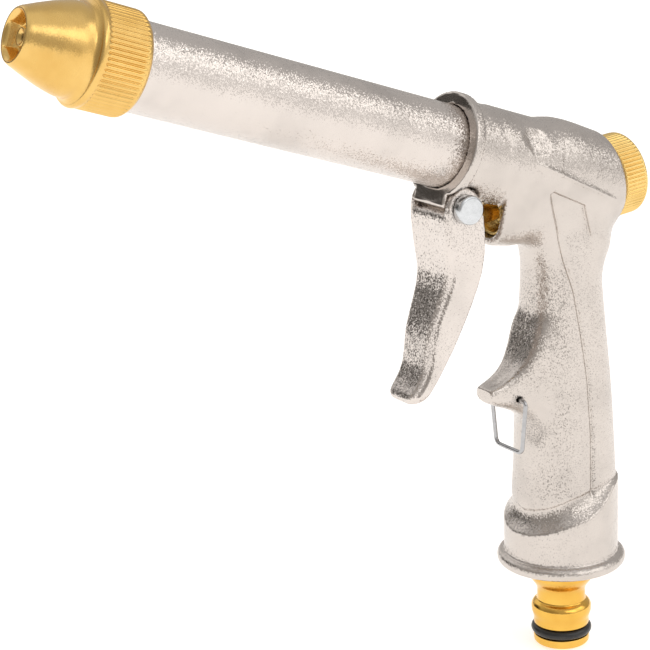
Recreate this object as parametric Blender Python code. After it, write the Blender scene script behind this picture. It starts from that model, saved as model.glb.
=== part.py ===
"""Pistol-grip hose spray nozzle with a twist head, a squeeze trigger and a rear flow knob.

Sizes below are in millimetres, and add_mesh turns them into metres. +Z runs up the grip, the
muzzle points towards -X, and Y = 0 is the plane of symmetry. The origin is the centre of the
hose connector's lower end.
"""

from math import cos, hypot, pi, radians, sin

import bmesh
import bpy
from mathutils import Matrix, Vector

MM = 0.001

# Barrel axis: it rises towards the muzzle, and S is the distance along it from X = 0.
BARREL_RISE = radians(18.95)
BARREL_Z0 = 135.93
BARREL_DIR = Vector((-cos(BARREL_RISE), 0.0, sin(BARREL_RISE)))
COLLAR_S = 40.2
COLLAR_R = 14.5
COLLAR_THICK = 2.8
HOUSING_R = 13.1
TUBE_R = 10.95
TUBE_BORE_R = 9.4
TUBE_REAR_S = 29.0
TUBE_FRONT_S = 141.0
SOCKET_BOTTOM_S = 27.5
THROAT_R = 7.5
THROAT_END_S = 11.0

# Nozzle head.
RING_REAR_S = 132.9
RING_FRONT_S = 146.2
TIP_S = 162.2
RING_R = 13.0
TIP_R = 6.6
FLUTES_HEAD = 60
CORE_R = 2.5
CORE_TIP_S = 160.6

# Valve axis: it rises a little towards the rear knob, and T is the distance along it from X = 0.
STEM_RISE = radians(6.2)
STEM_Z0 = 131.8
STEM_DIR = Vector((cos(STEM_RISE), 0.0, sin(STEM_RISE)))
GLAND_FRONT_T = -25.0
GLAND_BORE_R = 7.0
GLAND_SEAT_T = -18.0
PACKING_SEAT_T = -15.8
OUTLET_FRONT_T = -14.4
SEAT_FRONT_T = -10.6
SEAT_FACE_T = -9.4
SEAT_HOLE_R = 4.6
CHAMBER_R = 8.0
BONNET_FRONT_T = 5.0
BONNET_R = 9.2
REAR_FACE_T = 13.8
STEM_R = 2.4
STEM_HOLE_R = 2.46

# Knob.
KNOB_R = 11.5
KNOB_FRONT_T = 14.3
KNOB_REAR_T = 22.4
FLUTES_KNOB = 60

# Trigger and its pivot.
PIVOT_X = -37.4
PIVOT_Z = 133.6
PIN_R = 1.9
PIN_HOLE_R = 1.98
PIN_HEAD_R = 3.9
PIN_HEAD_Y = -12.0
CHEEK_GAP = 7.1
LUG_HALF = 6.8
LUG_BOSS_R = 3.2
EAR_RELIEF_R = 5.85
WEB_TOP_Z = 134.2
WEB_REAR_X = -40.9
SADDLE_FLOOR_Z = 132.0

# Grip.
WATERWAY_X = 1.0
WATERWAY_R = 6.0
GRIP_BASE_X = 0.0
SLEEVE_R = 16.1
FLANGE_R = 18.15
FLANGE_BOTTOM_Z = 24.7
FLANGE_TOP_Z = 28.4
INLET_SOCKET_R = 10.0
INLET_SOCKET_TOP_Z = 38.0

# Wire bail.
BAIL_X = -17.8
BAIL_Z = 77.2
BAIL_HALF = 6.6
BAIL_DROP = 14.2
WIRE_R = 0.6
BAIL_HOLE_R = 0.75
BAIL_CORNER_R = 1.9

GRIP_POINTS = 40
FINE = 40
COARSE = 24


def clear_scene():
    for old in list(bpy.data.objects):
        bpy.data.objects.remove(old, do_unlink=True)


def make_collections():
    parts = bpy.data.collections.new("hose_spray_nozzle")
    cutters = bpy.data.collections.new("cutters")
    for group in (parts, cutters):
        bpy.context.scene.collection.children.link(group)
    return parts, cutters


def material(name, colour, roughness, metallic):
    found = bpy.data.materials.get(name)
    if found:
        return found
    made = bpy.data.materials.new(name)
    made.use_nodes = True
    shader = made.node_tree.nodes["Principled BSDF"]
    shader.inputs["Base Color"].default_value = (*colour, 1.0)
    shader.inputs["Roughness"].default_value = roughness
    shader.inputs["Metallic"].default_value = metallic
    made.diffuse_color = (*colour, 1.0)
    return made


NICKEL = ((0.74, 0.71, 0.67), 0.34, 1.0)
BRASS = ((0.86, 0.62, 0.24), 0.26, 1.0)
STEEL = ((0.62, 0.62, 0.63), 0.22, 1.0)
SPRING_STEEL = ((0.52, 0.53, 0.55), 0.3, 1.0)
RUBBER = ((0.02, 0.02, 0.022), 0.6, 0.0)


def add_mesh(name, shell, group, look=None, origin=None):
    """Turns a bmesh measured in millimetres into a named object, its origin on the given point."""
    bmesh.ops.remove_doubles(shell, verts=shell.verts, dist=1e-5)
    bmesh.ops.recalc_face_normals(shell, faces=shell.faces)
    shift = Vector(origin) if origin else Vector((0.0, 0.0, 0.0))
    bmesh.ops.transform(shell, matrix=Matrix.Scale(MM, 4) @ Matrix.Translation(-shift), verts=shell.verts)
    mesh = bpy.data.meshes.new(name)
    shell.to_mesh(mesh)
    shell.free()
    made = bpy.data.objects.new(name, mesh)
    made.location = shift * MM
    group.objects.link(made)
    if look:
        mesh.materials.append(material(name, *look))
    else:
        made.hide_render = True
        made.display_type = "WIRE"
    return made


def combine(target, helper, operation, name):
    """Joins or cuts the target with a helper solid, keeping it live as a modifier."""
    step = target.modifiers.new(name, "BOOLEAN")
    step.operation = operation
    step.solver = "EXACT"
    step.object = helper
    return step


def combine_all(target, helpers, operation, name, cutters):
    """Joins or cuts the target with a whole collection of helper solids at once."""
    group = bpy.data.collections.new(name)
    cutters.children.link(group)
    for helper_name, shell in helpers:
        add_mesh(helper_name, shell, group)
    step = target.modifiers.new(name, "BOOLEAN")
    step.operation = operation
    step.solver = "EXACT"
    step.operand_type = "COLLECTION"
    step.collection = group


def bridge(shell, lower, upper):
    """Faces between two rings, where one may have a whole multiple of the other's points."""
    if len(lower) > len(upper):
        lower, upper = upper, lower
    count = len(lower)
    split = len(upper) // count
    for i in range(count):
        j = (i + 1) % count
        if split == 1:
            shell.faces.new((lower[i], lower[j], upper[j], upper[i]))
            continue
        for k in range(split):
            first = upper[i * split + k]
            second = upper[(i * split + k + 1) % len(upper)]
            shell.faces.new((lower[i], first, second))
        shell.faces.new((lower[i], upper[(i + 1) * split % len(upper)], lower[j]))


def fan(shell, ring, tip):
    for i, point in enumerate(ring):
        shell.faces.new((point, ring[(i + 1) % len(ring)], tip))


def axis_frame(origin, direction):
    along = Vector(direction).normalized()
    side = Vector((0.0, 1.0, 0.0))
    if abs(along.y) > 0.9:
        side = Vector((1.0, 0.0, 0.0))
    across = along.cross(side).normalized()
    side = across.cross(along).normalized()
    return Vector(origin), along, across, side


def turned(rows, origin, direction):
    """A turned solid. Each row is (radius, height, points) or (radius, height, points, flute depth).

    Rows run in order along the section. A first and last row of radius 0 close it on the axis,
    and otherwise the last row joins the first.
    """
    centre, along, across, side = axis_frame(origin, direction)
    shell = bmesh.new()
    rings = []
    for row in rows:
        radius, height, points = row[:3]
        depth = row[3] if len(row) > 3 else 0.0
        base = centre + along * height
        if radius == 0:
            rings.append(shell.verts.new(base))
            continue
        ring = []
        for i in range(points):
            angle = 2 * pi * i / points
            reach = radius - (depth if i % 2 else 0.0)
            ring.append(shell.verts.new(base + (across * cos(angle) + side * sin(angle)) * reach))
        rings.append(ring)
    pairs = list(zip(rings, rings[1:]))
    if isinstance(rings[0], list):
        pairs.append((rings[-1], rings[0]))
    for one, two in pairs:
        if isinstance(one, list) and isinstance(two, list):
            bridge(shell, one, two)
        elif isinstance(one, list):
            fan(shell, one, two)
        elif isinstance(two, list):
            fan(shell, two, one)
    return shell


def lofted(rings):
    """A solid through rings of points, closed by a flat fan at each end."""
    shell = bmesh.new()
    made = [[shell.verts.new(point) for point in ring] for ring in rings]
    for one, two in zip(made, made[1:]):
        bridge(shell, one, two)
    for ring in (made[0], made[-1]):
        middle = sum((point.co for point in ring), Vector()) / len(ring)
        fan(shell, ring, shell.verts.new(middle))
    return shell


def prism(outline, half, offset=0.0):
    """An outline in the XZ plane, extruded to both sides of Y = offset."""
    rings = []
    for side in (-half, half):
        rings.append([Vector((x, offset + side, z)) for x, z in outline])
    return lofted(rings)


def rod(radius, start, end, points=COARSE):
    start = Vector(start)
    along = Vector(end) - start
    rows = [(0, 0, 0), (radius, 0, points), (radius, along.length, points), (0, along.length, 0)]
    return turned(rows, start, along)


def on_barrel(distance):
    return Vector((0.0, 0.0, BARREL_Z0)) + BARREL_DIR * distance


def on_stem(distance):
    return Vector((0.0, 0.0, STEM_Z0)) + STEM_DIR * distance


def barrel_turned(rows):
    return turned(rows, on_barrel(0.0), BARREL_DIR)


def stem_turned(rows):
    return turned(rows, on_stem(0.0), STEM_DIR)


def mix(table, at):
    """Straight-line value at a height from a table of (height, value...) rows in rising order."""
    if at <= table[0][0]:
        return table[0][1:]
    for low, high in zip(table, table[1:]):
        if at <= high[0]:
            part = (at - low[0]) / (high[0] - low[0])
            return tuple(a + (b - a) * part for a, b in zip(low[1:], high[1:]))
    return table[-1][1:]


# Grip section by height: middle in X, half depth, half width.
GRIP = (
    (46.0, 1.2, 14.3, 13.5),
    (55.0, 1.3, 13.9, 12.9),
    (70.0, 1.1, 13.5, 12.2),
    (80.0, 1.0, 12.9, 11.7),
    (90.0, 0.7, 12.2, 11.2),
    (100.0, 0.6, 11.3, 10.7),
    (108.0, 0.5, 10.7, 10.4),
    (112.5, 1.1, 11.3, 10.4),
    (115.5, 1.8, 12.3, 10.6),
    (118.5, 1.6, 13.1, 10.9),
    (121.5, 0.9, 13.5, 11.0),
    (128.0, -0.2, 13.3, 11.0),
)
GRIP_POWER = 2.4

# Edges of the slanted step above the base sleeve, by angle round from the grip's side towards
# its front: lower edge and upper edge.
STEP_EDGES = (
    (-28.0, 49.5, 50.2),
    (-11.0, 45.4, 49.4),
    (5.0, 42.5, 48.4),
    (27.0, 40.6, 47.2),
    (50.0, 38.4, 44.8),
    (72.0, 37.0, 43.3),
    (90.0, 36.8, 42.4),
)


def power_point(angle, middle, depth, width, height, power=GRIP_POWER):
    c, s = cos(angle), sin(angle)
    x = middle + depth * (1 if c >= 0 else -1) * abs(c) ** (2 / power)
    y = width * (1 if s >= 0 else -1) * abs(s) ** (2 / power)
    return Vector((x, y, height))


def grip_ring(height):
    middle, depth, width = mix(GRIP, height)
    return [power_point(2 * pi * i / GRIP_POINTS, middle, depth, width, height) for i in range(GRIP_POINTS)]


def round_ring(radius, height_of):
    ring = []
    for i in range(GRIP_POINTS):
        angle = 2 * pi * i / GRIP_POINTS
        around = abs(((angle + pi) % (2 * pi)) - pi) * 180 / pi - 90
        ring.append(Vector((GRIP_BASE_X + radius * cos(angle), radius * sin(angle), height_of(around))))
    return ring


def step_ring():
    """The step's upper edge: on the grip's outline in front, out on the sleeve behind."""
    ring = []
    for i in range(GRIP_POINTS):
        angle = 2 * pi * i / GRIP_POINTS
        around = abs(((angle + pi) % (2 * pi)) - pi) * 180 / pi - 90
        height = mix(STEP_EDGES, around)[1]
        middle, depth, width = mix(GRIP, height)
        inner = power_point(angle, middle, depth, width, height)
        outer = Vector((GRIP_BASE_X + 15.9 * cos(angle), 15.9 * sin(angle), height))
        share = min(1.0, max(0.0, (around + 30.0) / 30.0))
        ring.append(outer.lerp(inner, share))
    return ring


def make_grip():
    rings = [round_ring(SLEEVE_R, lambda around: 27.0)]
    rings.append(round_ring(SLEEVE_R, lambda around: 34.0))
    rings.append(round_ring(SLEEVE_R, lambda around: mix(STEP_EDGES, around)[0]))
    rings.append(step_ring())
    for height in (55.0, 62.0, 70.0, 80.0, 90.0, 100.0, 108.0, 112.5, 115.5, 118.5, 121.5, 128.0):
        rings.append(grip_ring(height))
    return lofted(rings)


def make_flange():
    low, high, rim = FLANGE_BOTTOM_Z, FLANGE_TOP_Z, FLANGE_R
    section = (
        (0, low, 0),
        (rim - 2.0, low, FINE),
        (rim - 0.7, low + 0.35, FINE),
        (rim, low + 1.2, FINE),
        (rim - 0.1, low + 2.2, FINE),
        (rim - 0.9, high, FINE),
        (SLEEVE_R + 0.2, high + 0.5, FINE),
        (SLEEVE_R - 0.6, high + 1.4, FINE),
        (0, high + 1.4, 0),
    )
    return turned(section, (GRIP_BASE_X, 0, 0), (0, 0, 1))


# Housing section by X: middle height and half height of the upper round, its half width,
# and the middle height and radius of the lower round.
HOUSING = (
    (-24.9, 13.85, 13.1, 8.5),
    (-19.0, 13.85, 13.1, 10.2),
    (-14.0, 13.85, 13.1, 10.7),
    (-9.0, 13.9, 13.1, 10.6),
    (-6.0, 14.3, 13.1, 10.8),
    (-2.5, 14.3, 13.0, 11.0),
    (1.0, 14.2, 13.0, 11.3),
    (5.0, 14.0, 12.9, 11.7),
    (9.0, 13.6, 12.8, 12.2),
    (12.4, 13.1, 12.7, 12.6),
    (13.6, 12.6, 12.3, 12.3),
)
TOP_LINE = (
    (-24.9, 158.3),
    (-9.0, 152.9),
    (-6.0, 152.8),
    (-2.5, 152.4),
    (1.0, 151.4),
    (5.0, 149.9),
    (9.0, 148.2),
    (12.4, 146.8),
    (13.6, 145.9),
)


def hull_outline(middle_up, half_up, wide_up, middle_low, radius_low, points):
    """Points round the outer hull of an upper ellipse and a lower circle, by direction."""
    outline = []
    gap = middle_up - middle_low
    for i in range(points):
        angle = 2 * pi * i / points
        c, s = cos(angle), sin(angle)
        reach_up = hypot(wide_up * c, half_up * s)
        if reach_up + gap * s >= radius_low:
            y = wide_up * wide_up * c / reach_up
            z = middle_up + half_up * half_up * s / reach_up
        else:
            y = radius_low * c
            z = middle_low + radius_low * s
        outline.append((y, z))
    return outline


def make_housing():
    """The upper housing behind the collar: barrel socket above, valve bore below."""
    rings = []
    for at, half_up, wide_up, radius_low in HOUSING:
        top = mix(TOP_LINE, at)[0]
        low = STEM_Z0 + at * sin(STEM_RISE) / cos(STEM_RISE)
        outline = hull_outline(top - half_up, half_up, wide_up, low, radius_low, FINE)
        shear = -sin(STEM_RISE) / cos(STEM_RISE)
        rings.append([Vector((at + (z - low) * shear * max(0.0, at) / 13.6, y, z)) for y, z in outline])
    return lofted(rings)


def make_barrel_housing():
    """The round front of the casting, with the collar the tube stands in."""
    section = (
        (0, COLLAR_S, 0),
        (COLLAR_R - 0.35, COLLAR_S, FINE),
        (COLLAR_R, COLLAR_S - 0.4, FINE),
        (COLLAR_R - 0.05, COLLAR_S - 1.7, FINE),
        (COLLAR_R - 0.7, COLLAR_S - COLLAR_THICK, FINE),
        (HOUSING_R, COLLAR_S - COLLAR_THICK - 0.6, FINE),
        (HOUSING_R, 14.0, FINE),
        (HOUSING_R - 2.0, 10.5, FINE),
        (0, 10.5, 0),
    )
    return barrel_turned(section)


def make_lug():
    """The pivot lug under the collar: a block in front, a boss round the pin, a tail behind."""
    outline = [(-39.75, 144.0), (-42.65, 135.55), (-42.1, 134.95), (-40.9, 134.6)]
    for i in range(9):
        angle = pi + pi * i / 8
        outline.append((PIVOT_X + LUG_BOSS_R * cos(angle), PIVOT_Z + LUG_BOSS_R * sin(angle)))
    outline += [(-33.2, 133.9), (-28.4, 132.4), (-27.6, 132.8), (-22.0, 138.0), (-22.0, 144.0)]
    return prism(outline, LUG_HALF)


# Finger rest by X: top, bottom, half width.
SPUR = (
    (-27.6, 79.4, 78.4, 2.0),
    (-26.8, 80.3, 77.4, 3.2),
    (-24.5, 81.3, 76.0, 4.0),
    (-21.5, 82.5, 74.7, 4.6),
    (-18.5, 84.4, 73.4, 5.1),
    (-16.0, 87.0, 72.0, 5.8),
    (-13.5, 91.5, 69.8, 7.0),
    (-11.0, 98.0, 67.0, 8.0),
    (-4.0, 101.0, 66.0, 8.4),
)


def make_spur():
    rings = []
    for x, top, bottom, half in SPUR:
        middle = (top + bottom) / 2
        tall = (top - bottom) / 2
        ring = []
        for i in range(24):
            angle = 2 * pi * i / 24
            point = power_point(angle, 0.0, half, tall, 0.0, 2.6)
            ring.append(Vector((x, point.x, middle + point.y)))
        rings.append(ring)
    return lofted(rings)


def make_ear_relief(side):
    """Room beside the lug for one of the trigger's cheeks, cut up into the collar."""
    outline = [(PIVOT_X - EAR_RELIEF_R, 120.0)]
    for i in range(13):
        angle = pi - pi * i / 12
        outline.append((PIVOT_X + EAR_RELIEF_R * cos(angle), PIVOT_Z + EAR_RELIEF_R * sin(angle)))
    outline.append((PIVOT_X + EAR_RELIEF_R, 120.0))
    return prism(outline, 4.0, side * (LUG_HALF + 4.0))


def body_cutters():
    """Every bore and opening in the casting, as (name, solid)."""
    stem_slot = prism([(-50.0, 120.0), (-26.0, 120.0), (-26.0, 132.6), (-50.0, 132.6)], 3.3)
    return [
        ("cut_tube_socket", barrel_turned((
            (0, COLLAR_S + 8, 0),
            (TUBE_R + 0.12, COLLAR_S + 8, FINE),
            (TUBE_R + 0.12, SOCKET_BOTTOM_S, FINE),
            (0, SOCKET_BOTTOM_S, 0),
        ))),
        ("cut_throat", barrel_turned((
            (0, SOCKET_BOTTOM_S + 2, 0),
            (THROAT_R, SOCKET_BOTTOM_S + 2, COARSE),
            (THROAT_R, THROAT_END_S, COARSE),
            (0, THROAT_END_S, 0),
        ))),
        ("cut_valve_front", stem_turned((
            (0, GLAND_FRONT_T - 3, 0),
            (GLAND_BORE_R, GLAND_FRONT_T - 3, COARSE),
            (GLAND_BORE_R, GLAND_SEAT_T, COARSE),
            (4.6, GLAND_SEAT_T, COARSE),
            (4.6, PACKING_SEAT_T, COARSE),
            (STEM_HOLE_R, PACKING_SEAT_T, COARSE),
            (STEM_HOLE_R, OUTLET_FRONT_T, COARSE),
            (6.0, OUTLET_FRONT_T, COARSE),
            (6.0, SEAT_FRONT_T, COARSE),
            (SEAT_HOLE_R, SEAT_FRONT_T, COARSE),
            (SEAT_HOLE_R, SEAT_FACE_T, COARSE),
            (5.4, SEAT_FACE_T, COARSE),
            (5.4, SEAT_FACE_T - 0.6, COARSE),
            (CHAMBER_R, SEAT_FACE_T - 0.6, COARSE),
            (CHAMBER_R, BONNET_FRONT_T, COARSE),
            (BONNET_R + 0.12, BONNET_FRONT_T, COARSE),
            (BONNET_R + 0.12, REAR_FACE_T + 4, COARSE),
            (0, REAR_FACE_T + 4, 0),
        ))),
        ("cut_waterway", rod(WATERWAY_R, (WATERWAY_X, 0, 30.0), (WATERWAY_X, 0, 127.0), COARSE)),
        ("cut_inlet_socket", rod(INLET_SOCKET_R + 0.12, (GRIP_BASE_X, 0, 20.0),
                                 (GRIP_BASE_X, 0, INLET_SOCKET_TOP_Z), FINE)),
        ("cut_stem_slot", stem_slot),
        ("cut_ear_relief_near", make_ear_relief(-1)),
        ("cut_ear_relief_far", make_ear_relief(1)),
        ("cut_pin_hole", rod(PIN_HOLE_R, (PIVOT_X, -20, PIVOT_Z), (PIVOT_X, 20, PIVOT_Z), COARSE)),
        ("cut_bail_hole", rod(BAIL_HOLE_R, (BAIL_X, -20, BAIL_Z), (BAIL_X, 20, BAIL_Z), 16)),
    ]


def make_body(parts, cutters):
    body = add_mesh("pistol_body", make_grip(), parts, NICKEL)
    lumps = (
        ("add_flange", make_flange()),
        ("add_spur", make_spur()),
        ("add_housing", make_housing()),
        ("add_barrel_housing", make_barrel_housing()),
        ("add_lug", make_lug()),
    )
    combine_all(body, lumps, "UNION", "casting_lumps", cutters)
    combine_all(body, body_cutters(), "DIFFERENCE", "casting_cuts", cutters)


def make_tube(parts):
    """The barrel tube: stepped down in front, where the nozzle head runs over it."""
    rows = (
        (TUBE_BORE_R, TUBE_REAR_S, FINE),
        (TUBE_R, TUBE_REAR_S, FINE),
        (TUBE_R, RING_REAR_S + 1.4, FINE),
        (10.3, RING_REAR_S + 2.0, FINE),
        (10.3, TUBE_FRONT_S - 0.5, FINE),
        (9.9, TUBE_FRONT_S, FINE),
        (TUBE_BORE_R, TUBE_FRONT_S, FINE),
    )
    add_mesh("barrel_tube", barrel_turned(rows), parts, NICKEL)


def make_core(parts, cutters):
    """The brass insert in the tube's mouth, with three water holes round a threaded middle."""
    rows = (
        (2.1, 131.0, 20),
        (TUBE_BORE_R - 0.12, 131.0, FINE),
        (TUBE_BORE_R - 0.12, 140.6, FINE),
        (8.2, 140.6, FINE),
        (8.2, 147.8, FINE),
        (7.6, 148.4, FINE),
        (6.6, 148.4, FINE),
        (6.6, 135.5, FINE),
        (2.1, 135.5, 20),
    )
    carrier = add_mesh("core_carrier", barrel_turned(rows), parts, BRASS)
    centre, along, across, side = axis_frame(on_barrel(0.0), BARREL_DIR)
    for i in range(3):
        angle = 2 * pi * i / 3
        middle = (across * cos(angle) + side * sin(angle)) * 4.5
        start = on_barrel(128.0) + middle
        end = on_barrel(138.0) + middle
        name = "cut_water_hole_%d" % (i + 1)
        combine(carrier, add_mesh(name, rod(1.5, start, end, 16), cutters), "DIFFERENCE", name)
    core = (
        (0, 130.6, 0),
        (3.4, 130.6, 24),
        (3.4, 130.9, 24),
        (2.0, 130.9, 24),
        (2.0, 135.6, 24),
        (3.0, 135.6, 24),
        (3.0, 150.0, 24),
        (CORE_R, 153.0, 24),
        (CORE_R, CORE_TIP_S - 0.4, 24),
        (CORE_R - 0.4, CORE_TIP_S, 24),
        (1.7, CORE_TIP_S, 24),
        (0, CORE_TIP_S - 1.1, 0),
    )
    add_mesh("spray_core", barrel_turned(core), parts, BRASS)


def make_head(parts):
    """The twist head: a knurled ring behind a tapering nose, bored right through."""
    wide = 2 * FLUTES_HEAD
    rows = (
        (11.15, RING_REAR_S, 40),
        (RING_R - 1.3, RING_REAR_S, wide),
        (RING_R - 0.5, RING_REAR_S + 1.2, wide, 0.0),
        (RING_R - 0.35, RING_REAR_S + 1.7, wide, 0.55),
        (RING_R, RING_FRONT_S - 2.5, wide, 0.55),
        (RING_R + 0.1, RING_FRONT_S - 2.0, wide),
        (RING_R + 0.15, RING_FRONT_S - 0.8, wide),
        (RING_R - 0.3, RING_FRONT_S, 40),
        (11.8, RING_FRONT_S + 0.2, 40),
        (11.7, RING_FRONT_S + 1.2, 40),
        (11.1, 150.2, 40),
        (9.95, 154.0, 40),
        (8.45, 158.0, 40),
        (7.25, 160.9, 40),
        (TIP_R + 0.25, 161.9, 40),
        (TIP_R, TIP_S, 40),
        (TIP_R - 0.6, TIP_S, 40),
        (3.5, 158.4, 20),
        (3.3, 155.0, 20),
        (8.0, 150.4, 40),
        (8.45, 149.6, 40),
        (8.45, 146.0, 40),
        (9.75, 146.0, 40),
        (9.75, 143.9, 40),
        (8.45, 143.9, 40),
        (8.45, 143.3, 40),
        (10.6, 142.9, 40),
        (10.6, RING_REAR_S + 3.0, 40),
        (11.15, RING_REAR_S + 2.4, 40),
    )
    add_mesh("nozzle_head", barrel_turned(rows), parts, BRASS, on_barrel(0.0))


def ring_of(name, group, origin, direction, middle, section, points=24, around=6):
    """An O-ring: a round section turned about an axis."""
    rows = []
    for i in range(around):
        angle = 2 * pi * i / around
        rows.append((middle + section * cos(angle), section * sin(angle), points))
    return add_mesh(name, turned(rows, origin, direction), group, RUBBER)


def washer(name, group, look, origin, direction, inner, outer, low, high, points=24):
    rows = ((inner, low, points), (outer, low, points), (outer, high, points), (inner, high, points))
    return add_mesh(name, turned(rows, origin, direction), group, look)


def make_valve(parts):
    """Gland, packing, stem, valve disc and its nut, spring and spring seat, along the valve axis."""
    gland = (
        (STEM_HOLE_R, GLAND_FRONT_T + 0.6, COARSE),
        (4.2, GLAND_FRONT_T + 0.6, COARSE),
        (4.2, GLAND_FRONT_T + 1.8, COARSE),
        (GLAND_BORE_R - 0.9, GLAND_FRONT_T + 1.8, COARSE),
        (GLAND_BORE_R - 0.12, GLAND_FRONT_T + 1.2, COARSE),
        (GLAND_BORE_R - 0.12, GLAND_SEAT_T - 0.15, COARSE),
        (4.4, GLAND_SEAT_T - 0.15, COARSE),
        (STEM_HOLE_R, GLAND_SEAT_T - 0.15, COARSE),
    )
    add_mesh("gland_nut", stem_turned(gland), parts, BRASS)
    ring_of("stem_o_ring", parts, on_stem(-16.85), STEM_DIR, 3.5, 0.95, points=24)
    stem = (
        (0, -40.95, 0),
        (1.3, -40.6, 24),
        (2.1, -39.8, 24),
        (STEM_R, -38.6, 24),
        (STEM_R, -9.9, 24),
        (4.2, -9.9, 24),
        (4.2, -9.2, 24),
        (1.75, -9.2, 24),
        (1.75, -3.9, 24),
        (1.45, -3.6, 24),
        (0, -3.6, 0),
    )
    add_mesh("valve_stem", stem_turned(stem), parts, BRASS)
    washer("valve_disc", parts, RUBBER, on_stem(0), STEM_DIR, 1.85, 6.9, -9.1, -7.1)
    cup = (
        (1.85, -7.0, 30),
        (6.6, -7.0, 30),
        (6.6, -6.1, 30),
        (3.7, -6.1, 30),
        (3.3, -4.4, 30),
        (1.85, -4.4, 30),
    )
    add_mesh("valve_nut", stem_turned(cup), parts, BRASS)


def helix_tube(name, group, look, radius, wire, start, end, turns):
    """A closed coil spring along the valve axis, its first and last turns wound flat."""
    steps = 12
    sides = 6
    centre, along, across, side = axis_frame(on_stem(0.0), STEM_DIR)
    flat = 0.85
    total = turns * steps
    path = []
    for i in range(total + 1):
        turn = i / steps
        inner = turns - 2 * flat
        share = min(1.0, max(0.0, (turn - flat) / inner))
        lift = wire * 2.15
        if turn < flat:
            height = start + wire + lift * turn / flat * 0.98
        elif turn > turns - flat:
            height = end - wire - lift * (turns - turn) / flat * 0.98
        else:
            low = start + wire + lift * 0.98
            high = end - wire - lift * 0.98
            height = low + (high - low) * share
        angle = 2 * pi * turn
        path.append(centre + along * height + (across * cos(angle) + side * sin(angle)) * radius)
    rings = []
    for i, point in enumerate(path):
        ahead = path[min(i + 1, total)] - path[max(i - 1, 0)]
        tangent = ahead.normalized()
        outward = (point - centre - along * (point - centre).dot(along)).normalized()
        lift_dir = tangent.cross(outward).normalized()
        outward = lift_dir.cross(tangent).normalized()
        ring = []
        for j in range(sides):
            angle = 2 * pi * (j + 0.5) / sides
            ring.append(point + (outward * cos(angle) + lift_dir * sin(angle)) * wire)
        rings.append(ring)
    return add_mesh(name, lofted(rings), group, look)


def make_rear(parts, cutters):
    """Spring, its seat, the bonnet with its seals, and the knurled flow knob with its screw."""
    helix_tube("valve_spring", parts, SPRING_STEEL, 4.9, 0.45, -5.95, 2.45, 5)
    washer("spring_seat", parts, BRASS, on_stem(0), STEM_DIR, 1.5, 6.2, 2.6, 3.6)
    bonnet = (
        (2.3, 5.2, COARSE),
        (BONNET_R, 5.2, COARSE),
        (BONNET_R, 12.9, COARSE),
        (8.2, 13.3, COARSE),
        (3.9, 13.3, COARSE),
        (3.9, 10.4, COARSE),
        (2.3, 10.4, COARSE),
    )
    add_mesh("bonnet_plug", stem_turned(bonnet), parts, BRASS)
    ring_of("knob_o_ring", parts, on_stem(11.5), STEM_DIR, 3.1, 0.72, points=24)
    wide = 2 * FLUTES_KNOB
    knob = (
        (0, 0.0, 0),
        (1.35, 0.0, 30),
        (1.35, 3.7, 30),
        (2.2, 3.8, 30),
        (2.2, KNOB_FRONT_T, 30),
        (KNOB_R - 1.2, KNOB_FRONT_T, 60),
        (KNOB_R - 0.5, KNOB_FRONT_T + 0.5, wide),
        (KNOB_R, KNOB_FRONT_T + 0.8, wide, 0.5),
        (KNOB_R, KNOB_REAR_T - 1.2, wide, 0.5),
        (KNOB_R - 0.5, KNOB_REAR_T - 0.8, wide),
        (KNOB_R - 1.3, KNOB_REAR_T, 60),
        (8.4, KNOB_REAR_T + 0.1, 60),
        (7.9, KNOB_REAR_T - 0.7, 60),
        (0, KNOB_REAR_T - 0.7, 0),
    )
    add_mesh("flow_knob", stem_turned(knob), parts, BRASS, on_stem(0.0))


# Trigger side outline by height: front and rear, and half width.
TRIGGER = (
    (80.9, -52.9, -51.6, 4.6),
    (81.9, -53.6, -50.4, 5.4),
    (83.4, -53.9, -48.9, 6.2),
    (84.9, -53.4, -47.8, 6.6),
    (86.6, -52.0, -46.6, 6.8),
    (89.0, -50.3, -44.7, 6.8),
    (92.0, -49.1, -42.7, 6.8),
    (96.0, -48.4, -40.1, 6.9),
    (100.0, -47.8, -37.9, 7.0),
    (103.0, -46.9, -36.3, 7.1),
    (107.5, -45.1, -34.3, 7.5),
    (112.0, -43.3, -32.7, 8.0),
    (116.0, -42.4, -31.6, 8.5),
    (121.0, -42.5, -30.9, 8.8),
    (127.0, -42.9, -30.8, 8.9),
    (131.0, -43.0, -31.2, 8.9),
    (133.0, -42.8, -31.8, 8.9),
    (135.0, -42.5, -32.2, 8.9),
    (137.0, -41.5, -33.3, 8.9),
    (138.2, -40.1, -34.7, 8.9),
    (138.9, -38.4, -36.4, 8.9),
)


def rounded_box_ring(front, rear, half, height, front_radius, rear_radius):
    """A rectangle in plan with rounded corners, its front corners larger than its rear ones."""
    deep = (rear - front) / 2
    front_radius = min(front_radius, deep * 0.9)
    rear_radius = min(rear_radius, deep * 0.9)
    corners = (
        (front + front_radius, -half + front_radius, front_radius, pi, 4),
        (rear - rear_radius, -half + rear_radius, rear_radius, 1.5 * pi, 2),
        (rear - rear_radius, half - rear_radius, rear_radius, 0.0, 2),
        (front + front_radius, half - front_radius, front_radius, 0.5 * pi, 4),
    )
    ring = []
    for x, y, radius, start, steps in corners:
        for i in range(steps + 1):
            angle = start + 0.5 * pi * i / steps
            ring.append(Vector((x + radius * cos(angle), y + radius * sin(angle), height)))
    return ring


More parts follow.
